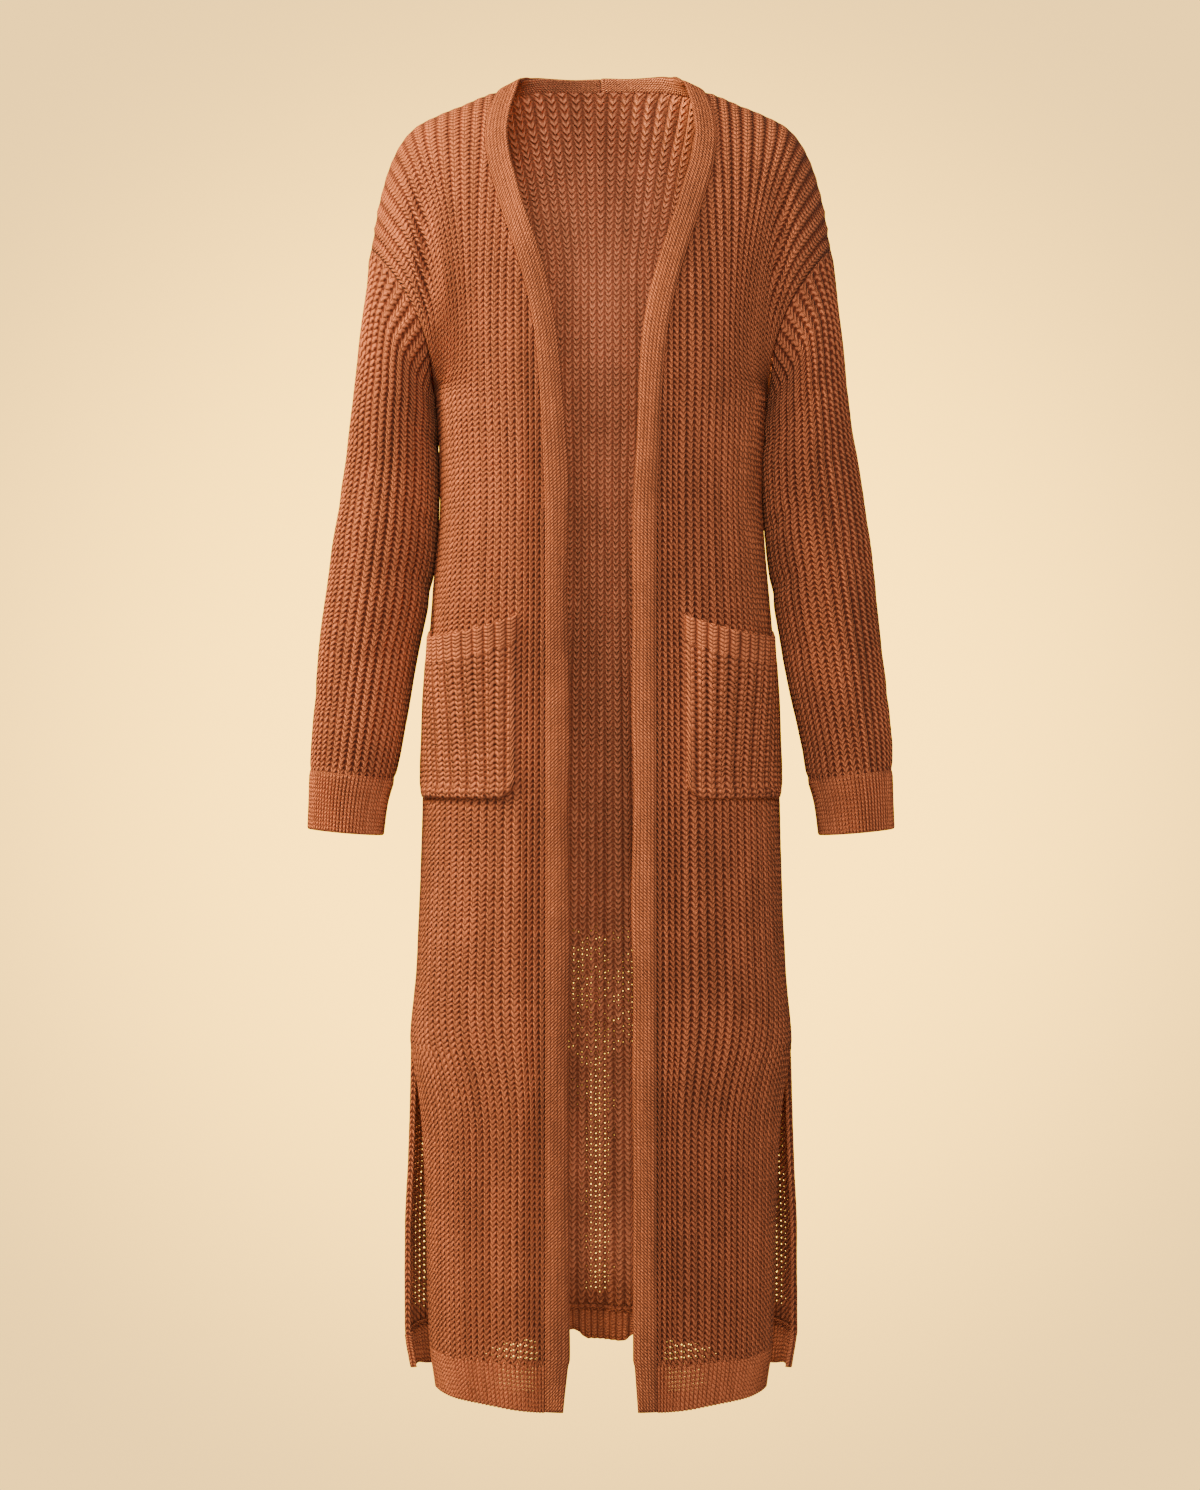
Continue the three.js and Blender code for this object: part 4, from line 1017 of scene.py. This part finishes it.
def cut_along_seam(knitted):
    """Cuts a front along the band's seam: in each row the last point on the band's side moves
    onto the seam, and those before it go under the band. Gives the points, their map, their
    looseness and which faces stay.
    """
    points, out, uv = knitted.points, knitted.out, knitted.map()
    row, count = np.arange(len(points)), points.shape[1]
    seam = column(FRONT_SEAM, points[..., 2], 1) + SEAM_CLEAR
    inside = points[..., 0] < seam + 0.15
    inside[:, 0] = True
    inside = np.cumprod(inside, 1).astype(bool)
    last = inside.sum(1) - 1
    after = np.minimum(last + 1, count - 1)
    a, b, seam_at = points[row, last], points[row, after], seam[row, last]
    wide = b[:, 0] - a[:, 0]
    share = np.clip((seam_at - a[:, 0]) / np.where(np.abs(wide) < 1e-6, 1, wide), 0, 1)[:, None]
    on_seam = mix(a, b, share)
    on_seam[:, 0] = seam_at
    under = on_seam - out[row, last] * 1.9 - np.array([1.8, 0, 0])
    uv_seam = mix(uv[row, last], uv[row, after], share)
    uv_under = uv_seam - np.array([0.3, 0])
    # one more column of points, so that the edge can turn under
    points, uv, loose, inside = (
        np.concatenate([field[:, :1], field], 1) for field in (points, uv, knitted.loose, inside)
    )
    is_last = np.arange(count + 1)[None, :] == (last + 1)[:, None]
    buried = inside & ~is_last
    points = np.where(buried[..., None], under[:, None], points)
    points = np.where(is_last[..., None], on_seam[:, None], points)
    uv = np.where(buried[..., None], uv_under[:, None], uv)
    uv = np.where(is_last[..., None], uv_seam[:, None], uv)
    keep = np.ones(points.shape[:2], bool)
    keep[:-1, :-1] = ~(buried[:-1, :-1] & buried[1:, :-1] & buried[:-1, 1:] & buried[1:, 1:])
    loose[:, -4:] = 0
    return points, uv, loose, keep


def build_hem(face, side=1):
    """The finer rib under a panel: three ribs to two of the panel's, rolled under at its free edge."""
    is_front = face == "front"
    rows_z = np.linspace(HEM_Z[face], HEM_TOP, 15)
    grid = front_base(rows_z, FRONT_RIBS * 6) if is_front else whole_back(rows_z, BACK_RIBS * 3)
    share = np.linspace(1, 0, len(rows_z))[:, None]
    grid[..., 2] += hem_lift(face, grid[..., 0]) * share
    out = normals(grid, 1 if is_front else -1)
    wale, courses = rib_numbers(grid), row_numbers(grid, 0.7)
    fade = seam_fade(grid.shape[:2], left=3 if is_front else 0)
    points = knit(grid, out, wale, courses, fade, 31, 0.0, tall=2.5)
    loose = np.zeros(grid.shape[:2])
    if is_front:
        x, z = grid[..., 0], grid[..., 2]
        loose = 0.86 * smooth((z + 1166) / 16) * smooth((x - 44) / 16) * smooth((106 - x) / 24)
    knitted = KnitGrid(points, out, wale, courses, loose)
    knitted.side(1.0)
    knitted.side(0.0 if is_front else 1.0, first=True)
    i = np.arange(knitted.points.shape[1])
    corner = smooth(np.minimum(i, i[-1] - i) / 6)
    knitted.end(corner, first=True, pace=0.5, radius=1.2, sewn=(0.2, 0.1))
    knitted.end(pace=0.5)
    name = f"front_hem_knit_{SIDE_NAMES[side]}" if is_front else "back_hem_knit"
    return knitted.mesh(name, flip=not is_front, mirror=side < 0)


def ring_points(rings, q, angles):
    """Rings of a tube: x goes as the cosine of the angle and y as its sine, and the outer side
    lies higher by the ring's rise.
    """
    found = bend(rings[:, 0], rings, q)
    z, x, y, wide, deep, rise = (found[:, k:k + 1] for k in range(6))
    c, s = np.cos(angles)[None, :], np.sin(angles)[None, :]
    return np.stack([x + wide * c, y - deep * s, z + rise * c], -1)


# soft creases of a sleeve: angle round the arm, height, turn of the crease, length, half width, depth
SLEEVE_CREASES = [
    (2.2, -395, 0.5, 70, 7, 2.2), (0.9, -430, -0.35, 60, 8, 1.6), (2.6, -455, 0.3, 80, 8, 2.4),
    (1.2, -350, 0.6, 60, 9, 1.8), (2.0, -520, -0.25, 60, 8, 1.6), (4.6, -420, 0.3, 80, 9, 2.6),
    (5.2, -370, -0.4, 70, 9, 2.0), (0.5, -560, 0.2, 50, 7, 1.3), (1.7, -300, 0.8, 60, 9, 2.2),
    (3.0, -330, 0.2, 70, 10, 2.4),
]
ARM_ROUND = 45  # millimetres round the arm to a radian


def creases(rows, along, z):
    """Short soft hollows: a bell across the crease and a wider bell along it."""
    total = 0
    for mid, height, turn, length, half, depth in rows:
        a, b = along - mid, z - height
        u, v = a * np.cos(turn) - b * np.sin(turn), a * np.sin(turn) + b * np.cos(turn)
        total = total + depth * np.exp(-((u / (length / 2)) ** 2) - (v / half) ** 2)
    return total


def build_sleeve(side):
    """A sleeve, a closed tube from the cuff to the dropped armhole."""
    count = SLEEVE_RIBS * 4
    angles = 2 * np.pi * np.arange(count) / count + np.pi
    rings = ring_points(SLEEVE, SLEEVE[:, 0], angles)
    rings = np.concatenate([rings, loop_point(angles)[None]])
    steps = np.linalg.norm(np.diff(rings, axis=0), axis=2).mean(1)
    keys = np.concatenate([[0], np.cumsum(steps)])
    rows = 2 * int(round(keys[-1] / (SIZES.course * 1000))) + 1
    grid = bend(keys, rings, np.linspace(0, keys[-1], rows))
    row = np.arange(rows)[:, None]
    # soft creases and slow dents, which die out towards both seams
    out = normals(grid, -1, loop=True)
    around = (angles[None, :] % (2 * np.pi)) * ARM_ROUND
    rows_of_creases = [(angle * ARM_ROUND, *rest) for angle, *rest in SLEEVE_CREASES]
    dents = drift(around, grid[..., 2], 41 if side > 0 else 43, 170, 2) * 1.4
    hollow = (creases(rows_of_creases, around, grid[..., 2]) + dents)[..., None]
    off_cuff, off_body = smooth(row / 12)[..., None], smooth((rows - 1 - row) / 12)[..., None]
    grid = grid - out * hollow * off_cuff * off_body
    out = normals(grid, -1, loop=True)
    # its inner side rests on the body under the arm
    inner = np.clip(-np.cos(angles), 0, 1)
    below_seam = smooth((rows - 1 - row) / 7)
    grid[..., 0] -= 4.4 * bell(grid[..., 2] + 322, 52) * inner[None, :] ** 2 * below_seam
    wale, courses = rib_numbers(grid), row_numbers(grid) / 2.0
    fade = seam_fade(grid.shape[:2], bottom=3, top=3)
    points = knit(grid, out, wale, courses, fade, 51 if side > 0 else 52)
    knitted = KnitGrid(points, out, wale, courses, np.zeros(wale.shape))
    # the seam allowance is widest under the arm, where three panels meet
    under = inner[:, None] ** 4
    knitted.end(sewn=(1.5 + 2.5 * under, 0.9 - 0.6 * under))
    knitted.end(first=True)
    return knitted.mesh(f"sleeve_knit_{SIDE_NAMES[side]}", SLEEVE_RIBS, flip=True, mirror=side < 0)


def build_cuff(side):
    """A cuff in finer rib, two ribs to each of the sleeve's, rolled under at the hand."""
    count = SLEEVE_RIBS * 8
    angles = 2 * np.pi * np.arange(count) / count + np.pi
    grid = ring_points(CUFF, np.linspace(CUFF[0, 0], CUFF[-1, 0], 21), angles)
    out = normals(grid, -1, loop=True)
    wale, courses = rib_numbers(grid), row_numbers(grid, 0.7)
    fade = seam_fade(grid.shape[:2], top=2)
    points = knit(grid, out, wale, courses, fade, 61, 0.0, tall=1.8)
    knitted = KnitGrid(points, out, wale, courses, np.zeros(wale.shape))
    knitted.end(1.0, first=True, pace=0.5)
    knitted.end()
    return knitted.mesh(f"cuff_knit_{SIDE_NAMES[side]}", SLEEVE_RIBS * 2, flip=True, mirror=side < 0)


def front_inside(x, z):
    """y of the inside of the front's cloth: the squared oval at that height, less the cloth."""
    high = z > UNDERARM_Z
    chest_half = body_half(np.full_like(z, UNDERARM_Z), "front")
    widening = mix(chest_half, 208, np.clip((z - UNDERARM_Z) / 125, 0, 1))
    half = np.where(high, widening, body_half(z, "front"))
    fall = np.where(high, shoulder_fall(x, z, "front"), 1)
    return -(body_depth(z, "front") * squared(x / half, column(BODY, z, 5)) * fall - COVER)


def band_path():
    """Stations of the band: its seam line, the way across it, and the way out of the cloth, from
    the hem to the centre back, and how many of them lie on the front.
    """
    sx, sz = FRONT_SEAM[:, 1], FRONT_SEAM[:, 0]
    front = np.stack([sx, front_inside(sx, sz), sz], -1)
    p = np.concatenate([front, NECK[:, :3]])
    tangent = unit(np.concatenate([p[1:2] - p[:1], p[2:] - p[:-2], p[-1:] - p[-2:-1]]))
    n = len(front)
    slope_x = front_inside(sx + 1, sz) - front_inside(sx - 1, sz)
    slope_z = front_inside(sx, sz + 1) - front_inside(sx, sz - 1)
    out = unit(np.stack([slope_x, np.full(n, -2.0), slope_z], -1))
    across = unit(np.cross(tangent[:n], out))
    across *= np.where(across[:, :1] > 0, -1, 1)
    near = smooth((np.arange(n) - (n - 5)) / 5)[:, None]
    across = unit(mix(across, unit(NECK[0, 3:6]), near))
    across = np.concatenate([across, unit(NECK[:, 3:6])])
    out = unit(np.cross(tangent, across))
    from_inside = np.stack([p[:, 0], p[:, 1], np.full(len(p), 40.0)], -1)
    out *= np.where((out * from_inside).sum(1, keepdims=True) < 0, -1, 1)
    # on the front the strip doesn't lean in over its own seam
    flat = unit(np.stack([-tangent[:, 2], np.zeros(len(p)), tangent[:, 0]], -1))
    flat = flat * np.where(flat[:, :1] > 0, -1, 1)
    lean = (out * flat).sum(1, keepdims=True)
    out[:n] -= flat[:n] * np.minimum(0, lean[:n])
    out[n, 0] = min(out[n, 0], 0.2)
    return p, across, out, n


def build_band(side):
    """Half of the neck band: a rounded strip carried along the front's seam, over the shoulder
    and round the neck to the centre back.
    """
    p, across, out, n = band_path()
    width, thick = BAND["width"], BAND["thick"]
    narrow = np.concatenate([np.zeros(n), NECK_LINE[:, 6]])
    length = np.concatenate([[0], np.cumsum(np.linalg.norm(np.diff(p, axis=0), axis=1))])
    s = np.linspace(0, length[-1], 520)
    base, over, face = bend(length, p, s), unit(bend(length, across, s)), unit(bend(length, out, s))
    narrow = bend(length, narrow, s)
    # over the shoulder the free edge stands a little higher, and it sinks towards the centre back
    rise = 4.2 * bell(s - length[n + 1] - 3, 12) + 1.2 * bell(s - length[n + 3], 14)
    rise = rise + 2.4 * bell(s - length[n + 2] - 2, 9) - 1.8 * smooth((s - length[n + 3]) / 55)
    # a flat oval profile with a crisp free edge: (distance across, height) as the angle goes round
    a = np.linspace(0, 2 * np.pi, 24, endpoint=False)
    c, d = np.cos(a), np.sin(a)
    px = width / 2 + 0.1 - (width / 2 - 0.1) * np.sign(c) * np.abs(c) ** 0.42
    py = thick / 2 + (thick / 2) * np.sign(d) * np.abs(d) ** 0.55
    wavy = drift(s, s * 0, 71 if side > 0 else 72, 160, 2)
    soft = drift(s, s * 0 + 40, 73 if side > 0 else 74, 75, 2)
    edge = (px / width) ** 2
    # the hem's rib draws the free edge in by a few millimetres
    grow = 1 - narrow / width - 0.06 * smooth((44 - s) / 7) - 0.15 * np.clip((40 - s) / 40, 0, 1)
    cross = px[None, :] * grow[:, None] + edge[None, :] * wavy[:, None] * 1.1
    # on the fronts the strip turns back a little towards its free edge
    back = 6.0 * smooth(s / 30) * smooth((length[n - 6] - s) / 120)
    lift = py[None, :] * (1 + 0.06 * soft[:, None]) + edge[None, :] * (soft * 0.8 - back)[:, None]
    grid = base[:, None] + over[:, None] * cross[..., None] + face[:, None] * lift[..., None]
    grid[..., 2] += edge[None, :] * rise[:, None]
    seam_side = (s > length[n - 5]) & (s < length[n + 1])
    behind_seam = np.minimum(grid[..., 0], base[:, None, 0] - 0.2)
    grid[..., 0] = np.where(seam_side[:, None], behind_seam, grid[..., 0])
    grid[..., 0] = np.maximum(grid[..., 0], 0.0)
    # the seam at the centre back pulls the strip in a little
    middle = base[:, None] + over[:, None] * (width / 2) + face[:, None] * (thick / 2)
    drawn = middle * np.array([0, 1, 1]) + grid * np.array([1, 0, 0])
    grid = mix(grid, drawn, 0.14 * smooth((s - (length[-1] - 3)) / 3)[:, None, None])
    # stitches 3.1 mm apart round the strip and 3 mm apart along it
    steps = np.hypot(np.diff(px, append=px[0]), np.diff(py, append=py[0]))
    u = np.concatenate([[0], np.cumsum(steps)])[None, :] / 3.1
    uv = np.stack(np.broadcast_arrays(u, s[:, None] / 3.0), -1)
    # close both ends with lines drawn in to the middle of the strip
    ends = []
    for k in (0, -1):
        hub = grid[k].mean(0)
        ends.append([mix(grid[k], hub, t)[None] for t in (0.35, 1.0)])
    full = np.concatenate([ends[0][1], ends[0][0], grid, ends[1][0], ends[1][1]])
    full[:, :, 0] = np.maximum(full[:, :, 0], 0.0)
    uv = np.concatenate([uv[:1], uv[:1], uv, uv[-1:], uv[-1:]])
    name, loose = f"neck_band_knit_{SIDE_NAMES[side]}", np.zeros(full.shape[:2])
    return mesh_piece(name, full, uv, loose, flip=True, loop=True, mirror=side < 0)


def pocket_grid(low, high, rows):
    """Points over the front's ribs, lifted by the pocket's gape: a sine across the pocket times a
    power of the height share. low and high give a height on the pocket from those of its mouth
    and its bottom. Also gives the outward directions and the share across.
    """
    z_rows = np.linspace(-700.0, -480.0, 111)
    base = front_base(z_rows)
    out = normals(base, 1)
    s = np.linspace(0, 1, POCKET["ribs"] * 4 + 1)[None, :]
    wide = mix(POCKET["first"], POCKET["last"], s) * 4
    t = np.linspace(0, 1, rows)[:, None]
    mouth = POCKET["mouth"] + POCKET["rise"] * (1 - s) ** 2 - 9 * np.sin(np.pi * s) + 3 * s**4
    corner = POCKET["corner"] * np.clip((np.abs(2 * s - 1) - 0.78) / 0.22, 0, 1) ** 2
    bottom = POCKET["bottom"] + corner
    z = mix(low(mouth, bottom), high(mouth, bottom), t)
    share = (z - bottom) / (mouth - bottom)
    gape = POCKET["gape"] * np.sin(np.pi * s) * (1 - s**3) * np.maximum(0, share) ** 1.6
    i0 = np.clip(np.floor(wide).astype(int), 0, base.shape[1] - 2)
    fi = (wide - i0)[..., None]
    row = (z - z_rows[0]) / (z_rows[1] - z_rows[0])
    j0 = np.clip(np.floor(row).astype(int), 0, len(z_rows) - 2)
    fj = (row - j0)[..., None]
    i0 = np.broadcast_to(i0, z.shape)

    def pick(a):
        """A field of the front at the pocket's points, straight between its rows and columns."""
        return mix(mix(a[j0, i0], a[j0, i0 + 1], fi), mix(a[j0 + 1, i0], a[j0 + 1, i0 + 1], fi), fj)

    surface, n = pick(base), unit(pick(out))
    puff = 1.2 * np.sin(np.pi * np.clip(share, 0, 1)) * np.sin(np.pi * s) ** 0.5
    # close to the cloth at its outer end, so that the mouth's corner lies flat on the side
    off = 3.9 - 1.9 * s**5 * np.clip(share, 0, 1) - 1.2 * (1 - s) ** 10
    return surface + n * (off + gape + puff)[..., None], n, s


def build_pocket(side):
    """A patch pocket in open knit, its bottom rolled into a soft hem, sewn down at its sides and
    bottom.
    """
    grid, n, s = pocket_grid(
        lambda mouth, bottom: bottom,
        lambda mouth, bottom: mouth - POCKET["trim"],
        57,
    )
    wale, courses = rib_numbers(grid), row_numbers(grid) / 2.2
    fade = seam_fade(grid.shape[:2], left=2, right=2, bottom=5)
    points = knit(grid, n, wale, courses, fade, 81, 0.9, tall=2.2)
    up = np.arange(len(grid))[:, None]
    roll = 2.4 * bell(up - 2.2, 1.9) * smooth((1 - s) / 0.22)
    points = points + n * roll[..., None]
    loose = smooth((up - 6) / 5) * smooth(np.minimum(s, 1 - s) / 0.1)
    loose = loose * smooth((len(grid) - 1 - up) / 4)
    knitted = KnitGrid(points, n, wale, courses, loose)
    knitted.side(pace=0.2, sewn=POCKET["seam"])
    knitted.side(first=True, pace=0.2, sewn=POCKET["seam"])
    knitted.end(first=True, sewn=(0.3, 2.0))
    knitted.end(sewn=(0.8, 0.5))
    return knitted.mesh(f"pocket_knit_{SIDE_NAMES[side]}", mirror=side < 0)


def build_pocket_trim(side):
    """The pocket's ribbed top, rolled over at the mouth."""
    grid, n, _ = pocket_grid(
        lambda mouth, bottom: mouth - POCKET["trim"] - 0.5,
        lambda mouth, bottom: mouth,
        12,
    )
    wale, courses = rib_numbers(grid), row_numbers(grid, 0.6)
    points = knit(grid, n, wale, courses, 1.0, 82, 0.0, tall=1.5)
    knitted = KnitGrid(points, n, wale, courses, np.zeros(wale.shape))
    knitted.side(pace=0.2, sewn=POCKET["seam"])
    knitted.side(first=True, pace=0.2, sewn=POCKET["seam"])
    knitted.end(1.0)
    return knitted.mesh(f"pocket_rib_knit_{SIDE_NAMES[side]}", mirror=side < 0)


# ---- operators ----
def settings():
    """Takes the user's sizes and colours from the scene."""
    global SIZES, COLOURS
    SIZES, COLOURS = bpy.context.scene.cardigan_sizes, bpy.context.scene.cardigan_colours


class CARDIGAN_OT_back(bpy.types.Operator):
    """Builds the back panel and its ribbed hem"""

    bl_idname = "cardigan.back"
    bl_label = "Back"

    def execute(self, context):
        settings()
        dress(build_back(), "back_panel")
        dress(build_hem("back"), "back_hem_rib")
        return {"FINISHED"}


class CARDIGAN_OT_fronts(bpy.types.Operator):
    """Builds the two front panels and their ribbed hems"""

    bl_idname = "cardigan.fronts"
    bl_label = "Fronts"

    def execute(self, context):
        settings()
        for side, word in SIDE_NAMES.items():
            dress(build_front(side), "front_panel", word)
            dress(build_hem("front", side), "front_hem_rib", word)
        return {"FINISHED"}


class CARDIGAN_OT_sleeves(bpy.types.Operator):
    """Builds the two sleeves and their cuffs"""

    bl_idname = "cardigan.sleeves"
    bl_label = "Sleeves"

    def execute(self, context):
        settings()
        for side, word in SIDE_NAMES.items():
            dress(build_sleeve(side), "sleeve", word)
            dress(build_cuff(side), "cuff", word)
        return {"FINISHED"}


class CARDIGAN_OT_band(bpy.types.Operator):
    """Builds the band round the front edges and the neck"""

    bl_idname = "cardigan.band"
    bl_label = "Neck band"

    def execute(self, context):
        settings()
        for side, word in SIDE_NAMES.items():
            dress(build_band(side), "neck_band", word)
        return {"FINISHED"}


class CARDIGAN_OT_pockets(bpy.types.Operator):
    """Builds the two patch pockets and their ribbed tops"""

    bl_idname = "cardigan.pockets"
    bl_label = "Pockets"

    def execute(self, context):
        settings()
        for side, word in SIDE_NAMES.items():
            dress(build_pocket(side), "pocket", word)
            dress(build_pocket_trim(side), "pocket_rib", word)
        return {"FINISHED"}


def area_light(name, place, target, size, power, colour):
    """A soft square lamp at a place, turned to face a target."""
    data = bpy.data.lights.new(name, "AREA")
    data.shape, data.size, data.energy, data.color = "SQUARE", size, power, colour
    lamp = bpy.data.objects.new(name, data)
    bpy.context.scene.collection.objects.link(lamp)
    lamp.location = place
    lamp.rotation_euler = (Vector(target) - Vector(place)).to_track_quat("-Z", "Y").to_euler()


class CARDIGAN_OT_studio(bpy.types.Operator):
    """Builds the pale seamless backdrop, the soft lights and the camera"""

    bl_idname = "cardigan.studio"
    bl_label = "Studio"

    def execute(self, context):
        settings()
        scene = context.scene
        # the backdrop: a floor that turns up into a wall round a quarter circle, swept across
        a = np.linspace(0, np.pi / 2, 24)
        r, wall_y, floor_z = 1.4, 3.7, -1.5
        turn_y, turn_z = wall_y - r + r * np.sin(a), floor_z + r * (1 - np.cos(a))
        wall_z = np.linspace(floor_z + r, 3.0, 11)[1:]
        y = np.concatenate([np.linspace(-3.0, wall_y - r, 12), turn_y, np.full(10, wall_y)])
        z = np.concatenate([np.full(12, floor_z), turn_z, wall_z])
        x = np.linspace(-5, 5, 41)
        grid = np.stack(np.broadcast_arrays(x[None, :], y[:, None], z[:, None]), -1) * 1000
        along = np.concatenate([[0], np.cumsum(np.hypot(np.diff(y), np.diff(z)))])
        uv = np.stack(np.broadcast_arrays(x[None, :], (along - along[35])[:, None]), -1)
        sheet = mesh_piece("backdrop", grid, uv, np.zeros(grid.shape[:2]))
        m = bpy.data.materials.new("Cream backdrop")
        m.use_nodes = True
        w = Wires(m.node_tree)
        shader = m.node_tree.nodes["Principled BSDF"]
        place = w.node("ShaderNodeTexCoord").outputs["Object"]
        parts = w.node("ShaderNodeSeparateXYZ")
        w.into(parts.inputs[0], place)
        # how far out a point looks from the front, measured on the wall
        scale = w.over(CAMERA_AWAY + wall_y, w.plus(parts.outputs["Y"], CAMERA_AWAY))
        wide = w.times(parts.outputs["X"], scale)
        tall = w.times(w.plus(parts.outputs["Z"], 0.6), scale)
        far = w.sum("SQRT", w.plus(w.times(wide, wide), w.times(tall, tall)))
        # painted light: a pool of light, falling off from the middle to a darker, bluer rim
        c = tuple(COLOURS.backdrop)
        rim = (c[0] * 0.42, c[1] * 0.455, c[2] * 1.02, 1.0)
        fall = w.minus(1.0, w.power(w.ramp(far, 0.57, 2.13, 1.0, 0.0), 1.2))
        colour = w.blend(fall, c, rim)
        # it glows for the eye; on the garment it throws only a soft cream light
        sight = w.node("ShaderNodeLightPath").outputs["Is Camera Ray"]
        w.into(shader.inputs["Emission Color"], w.blend(sight, (0.6, 0.56, 0.5, 1.0), colour))
        shader.inputs["Emission Strength"].default_value = 1.0
        shader.inputs["Base Color"].default_value = (0, 0, 0, 1)
        shader.inputs["Roughness"].default_value = 1.0
        shader.inputs["Specular IOR Level"].default_value = 0.0
        sheet.data.materials.append(m)
        world = bpy.data.worlds.new("Studio air")
        scene.world = world
        world.use_nodes = True
        back = world.node_tree.nodes["Background"]
        back.inputs["Color"].default_value = (1.0, 0.82, 0.7, 1.0)
        back.inputs["Strength"].default_value = 0.16
        for lamp in LAMPS:
            area_light(*lamp)
        data = bpy.data.cameras.new("Camera")
        data.lens, data.sensor_width = 64.44, 36.0
        camera = bpy.data.objects.new("Camera", data)
        scene.collection.objects.link(camera)
        camera.location = (0.0, -CAMERA_AWAY, CAMERA_Z)
        camera.rotation_euler = (np.pi / 2, 0, 0)
        data.shift_x, data.shift_y = -1 / 1490, 0.0
        scene.camera = camera
        return {"FINISHED"}


class CARDIGAN_PT_panel(bpy.types.Panel):
    """Lists the cardigan's sizes, colours and operators"""

    bl_idname = "CARDIGAN_PT_panel"
    bl_label = "Cardigan"
    bl_space_type = "VIEW_3D"
    bl_region_type = "UI"
    bl_category = "Cardigan"

    def draw(self, context):
        for name in ("rib_height", "course", "looseness"):
            self.layout.prop(context.scene.cardigan_sizes, name)
        for name in ("yarn", "shade", "backdrop"):
            self.layout.prop(context.scene.cardigan_colours, name)
        for kind in OPERATORS:
            self.layout.operator(kind.bl_idname)


OPERATORS = (
    CARDIGAN_OT_back, CARDIGAN_OT_fronts, CARDIGAN_OT_sleeves,
    CARDIGAN_OT_band, CARDIGAN_OT_pockets, CARDIGAN_OT_studio,
)
CLASSES = (CardiganSizes, CardiganColours, *OPERATORS, CARDIGAN_PT_panel)


def register():
    """Makes the classes and the user's sizes and colours known to Blender."""
    for kind in CLASSES:
        bpy.utils.register_class(kind)
    bpy.types.Scene.cardigan_sizes = bpy.props.PointerProperty(type=CardiganSizes)
    bpy.types.Scene.cardigan_colours = bpy.props.PointerProperty(type=CardiganColours)


def unregister():
    """Takes them out again, the last first."""
    del bpy.types.Scene.cardigan_sizes, bpy.types.Scene.cardigan_colours
    for kind in reversed(CLASSES):
        bpy.utils.unregister_class(kind)


def main():
    """Registers the classes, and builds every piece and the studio."""
    register()
    build = bpy.ops.cardigan
    for step in (build.back, build.fronts, build.sleeves, build.band, build.pockets, build.studio):
        step()


if __name__ == "__main__":
    main()
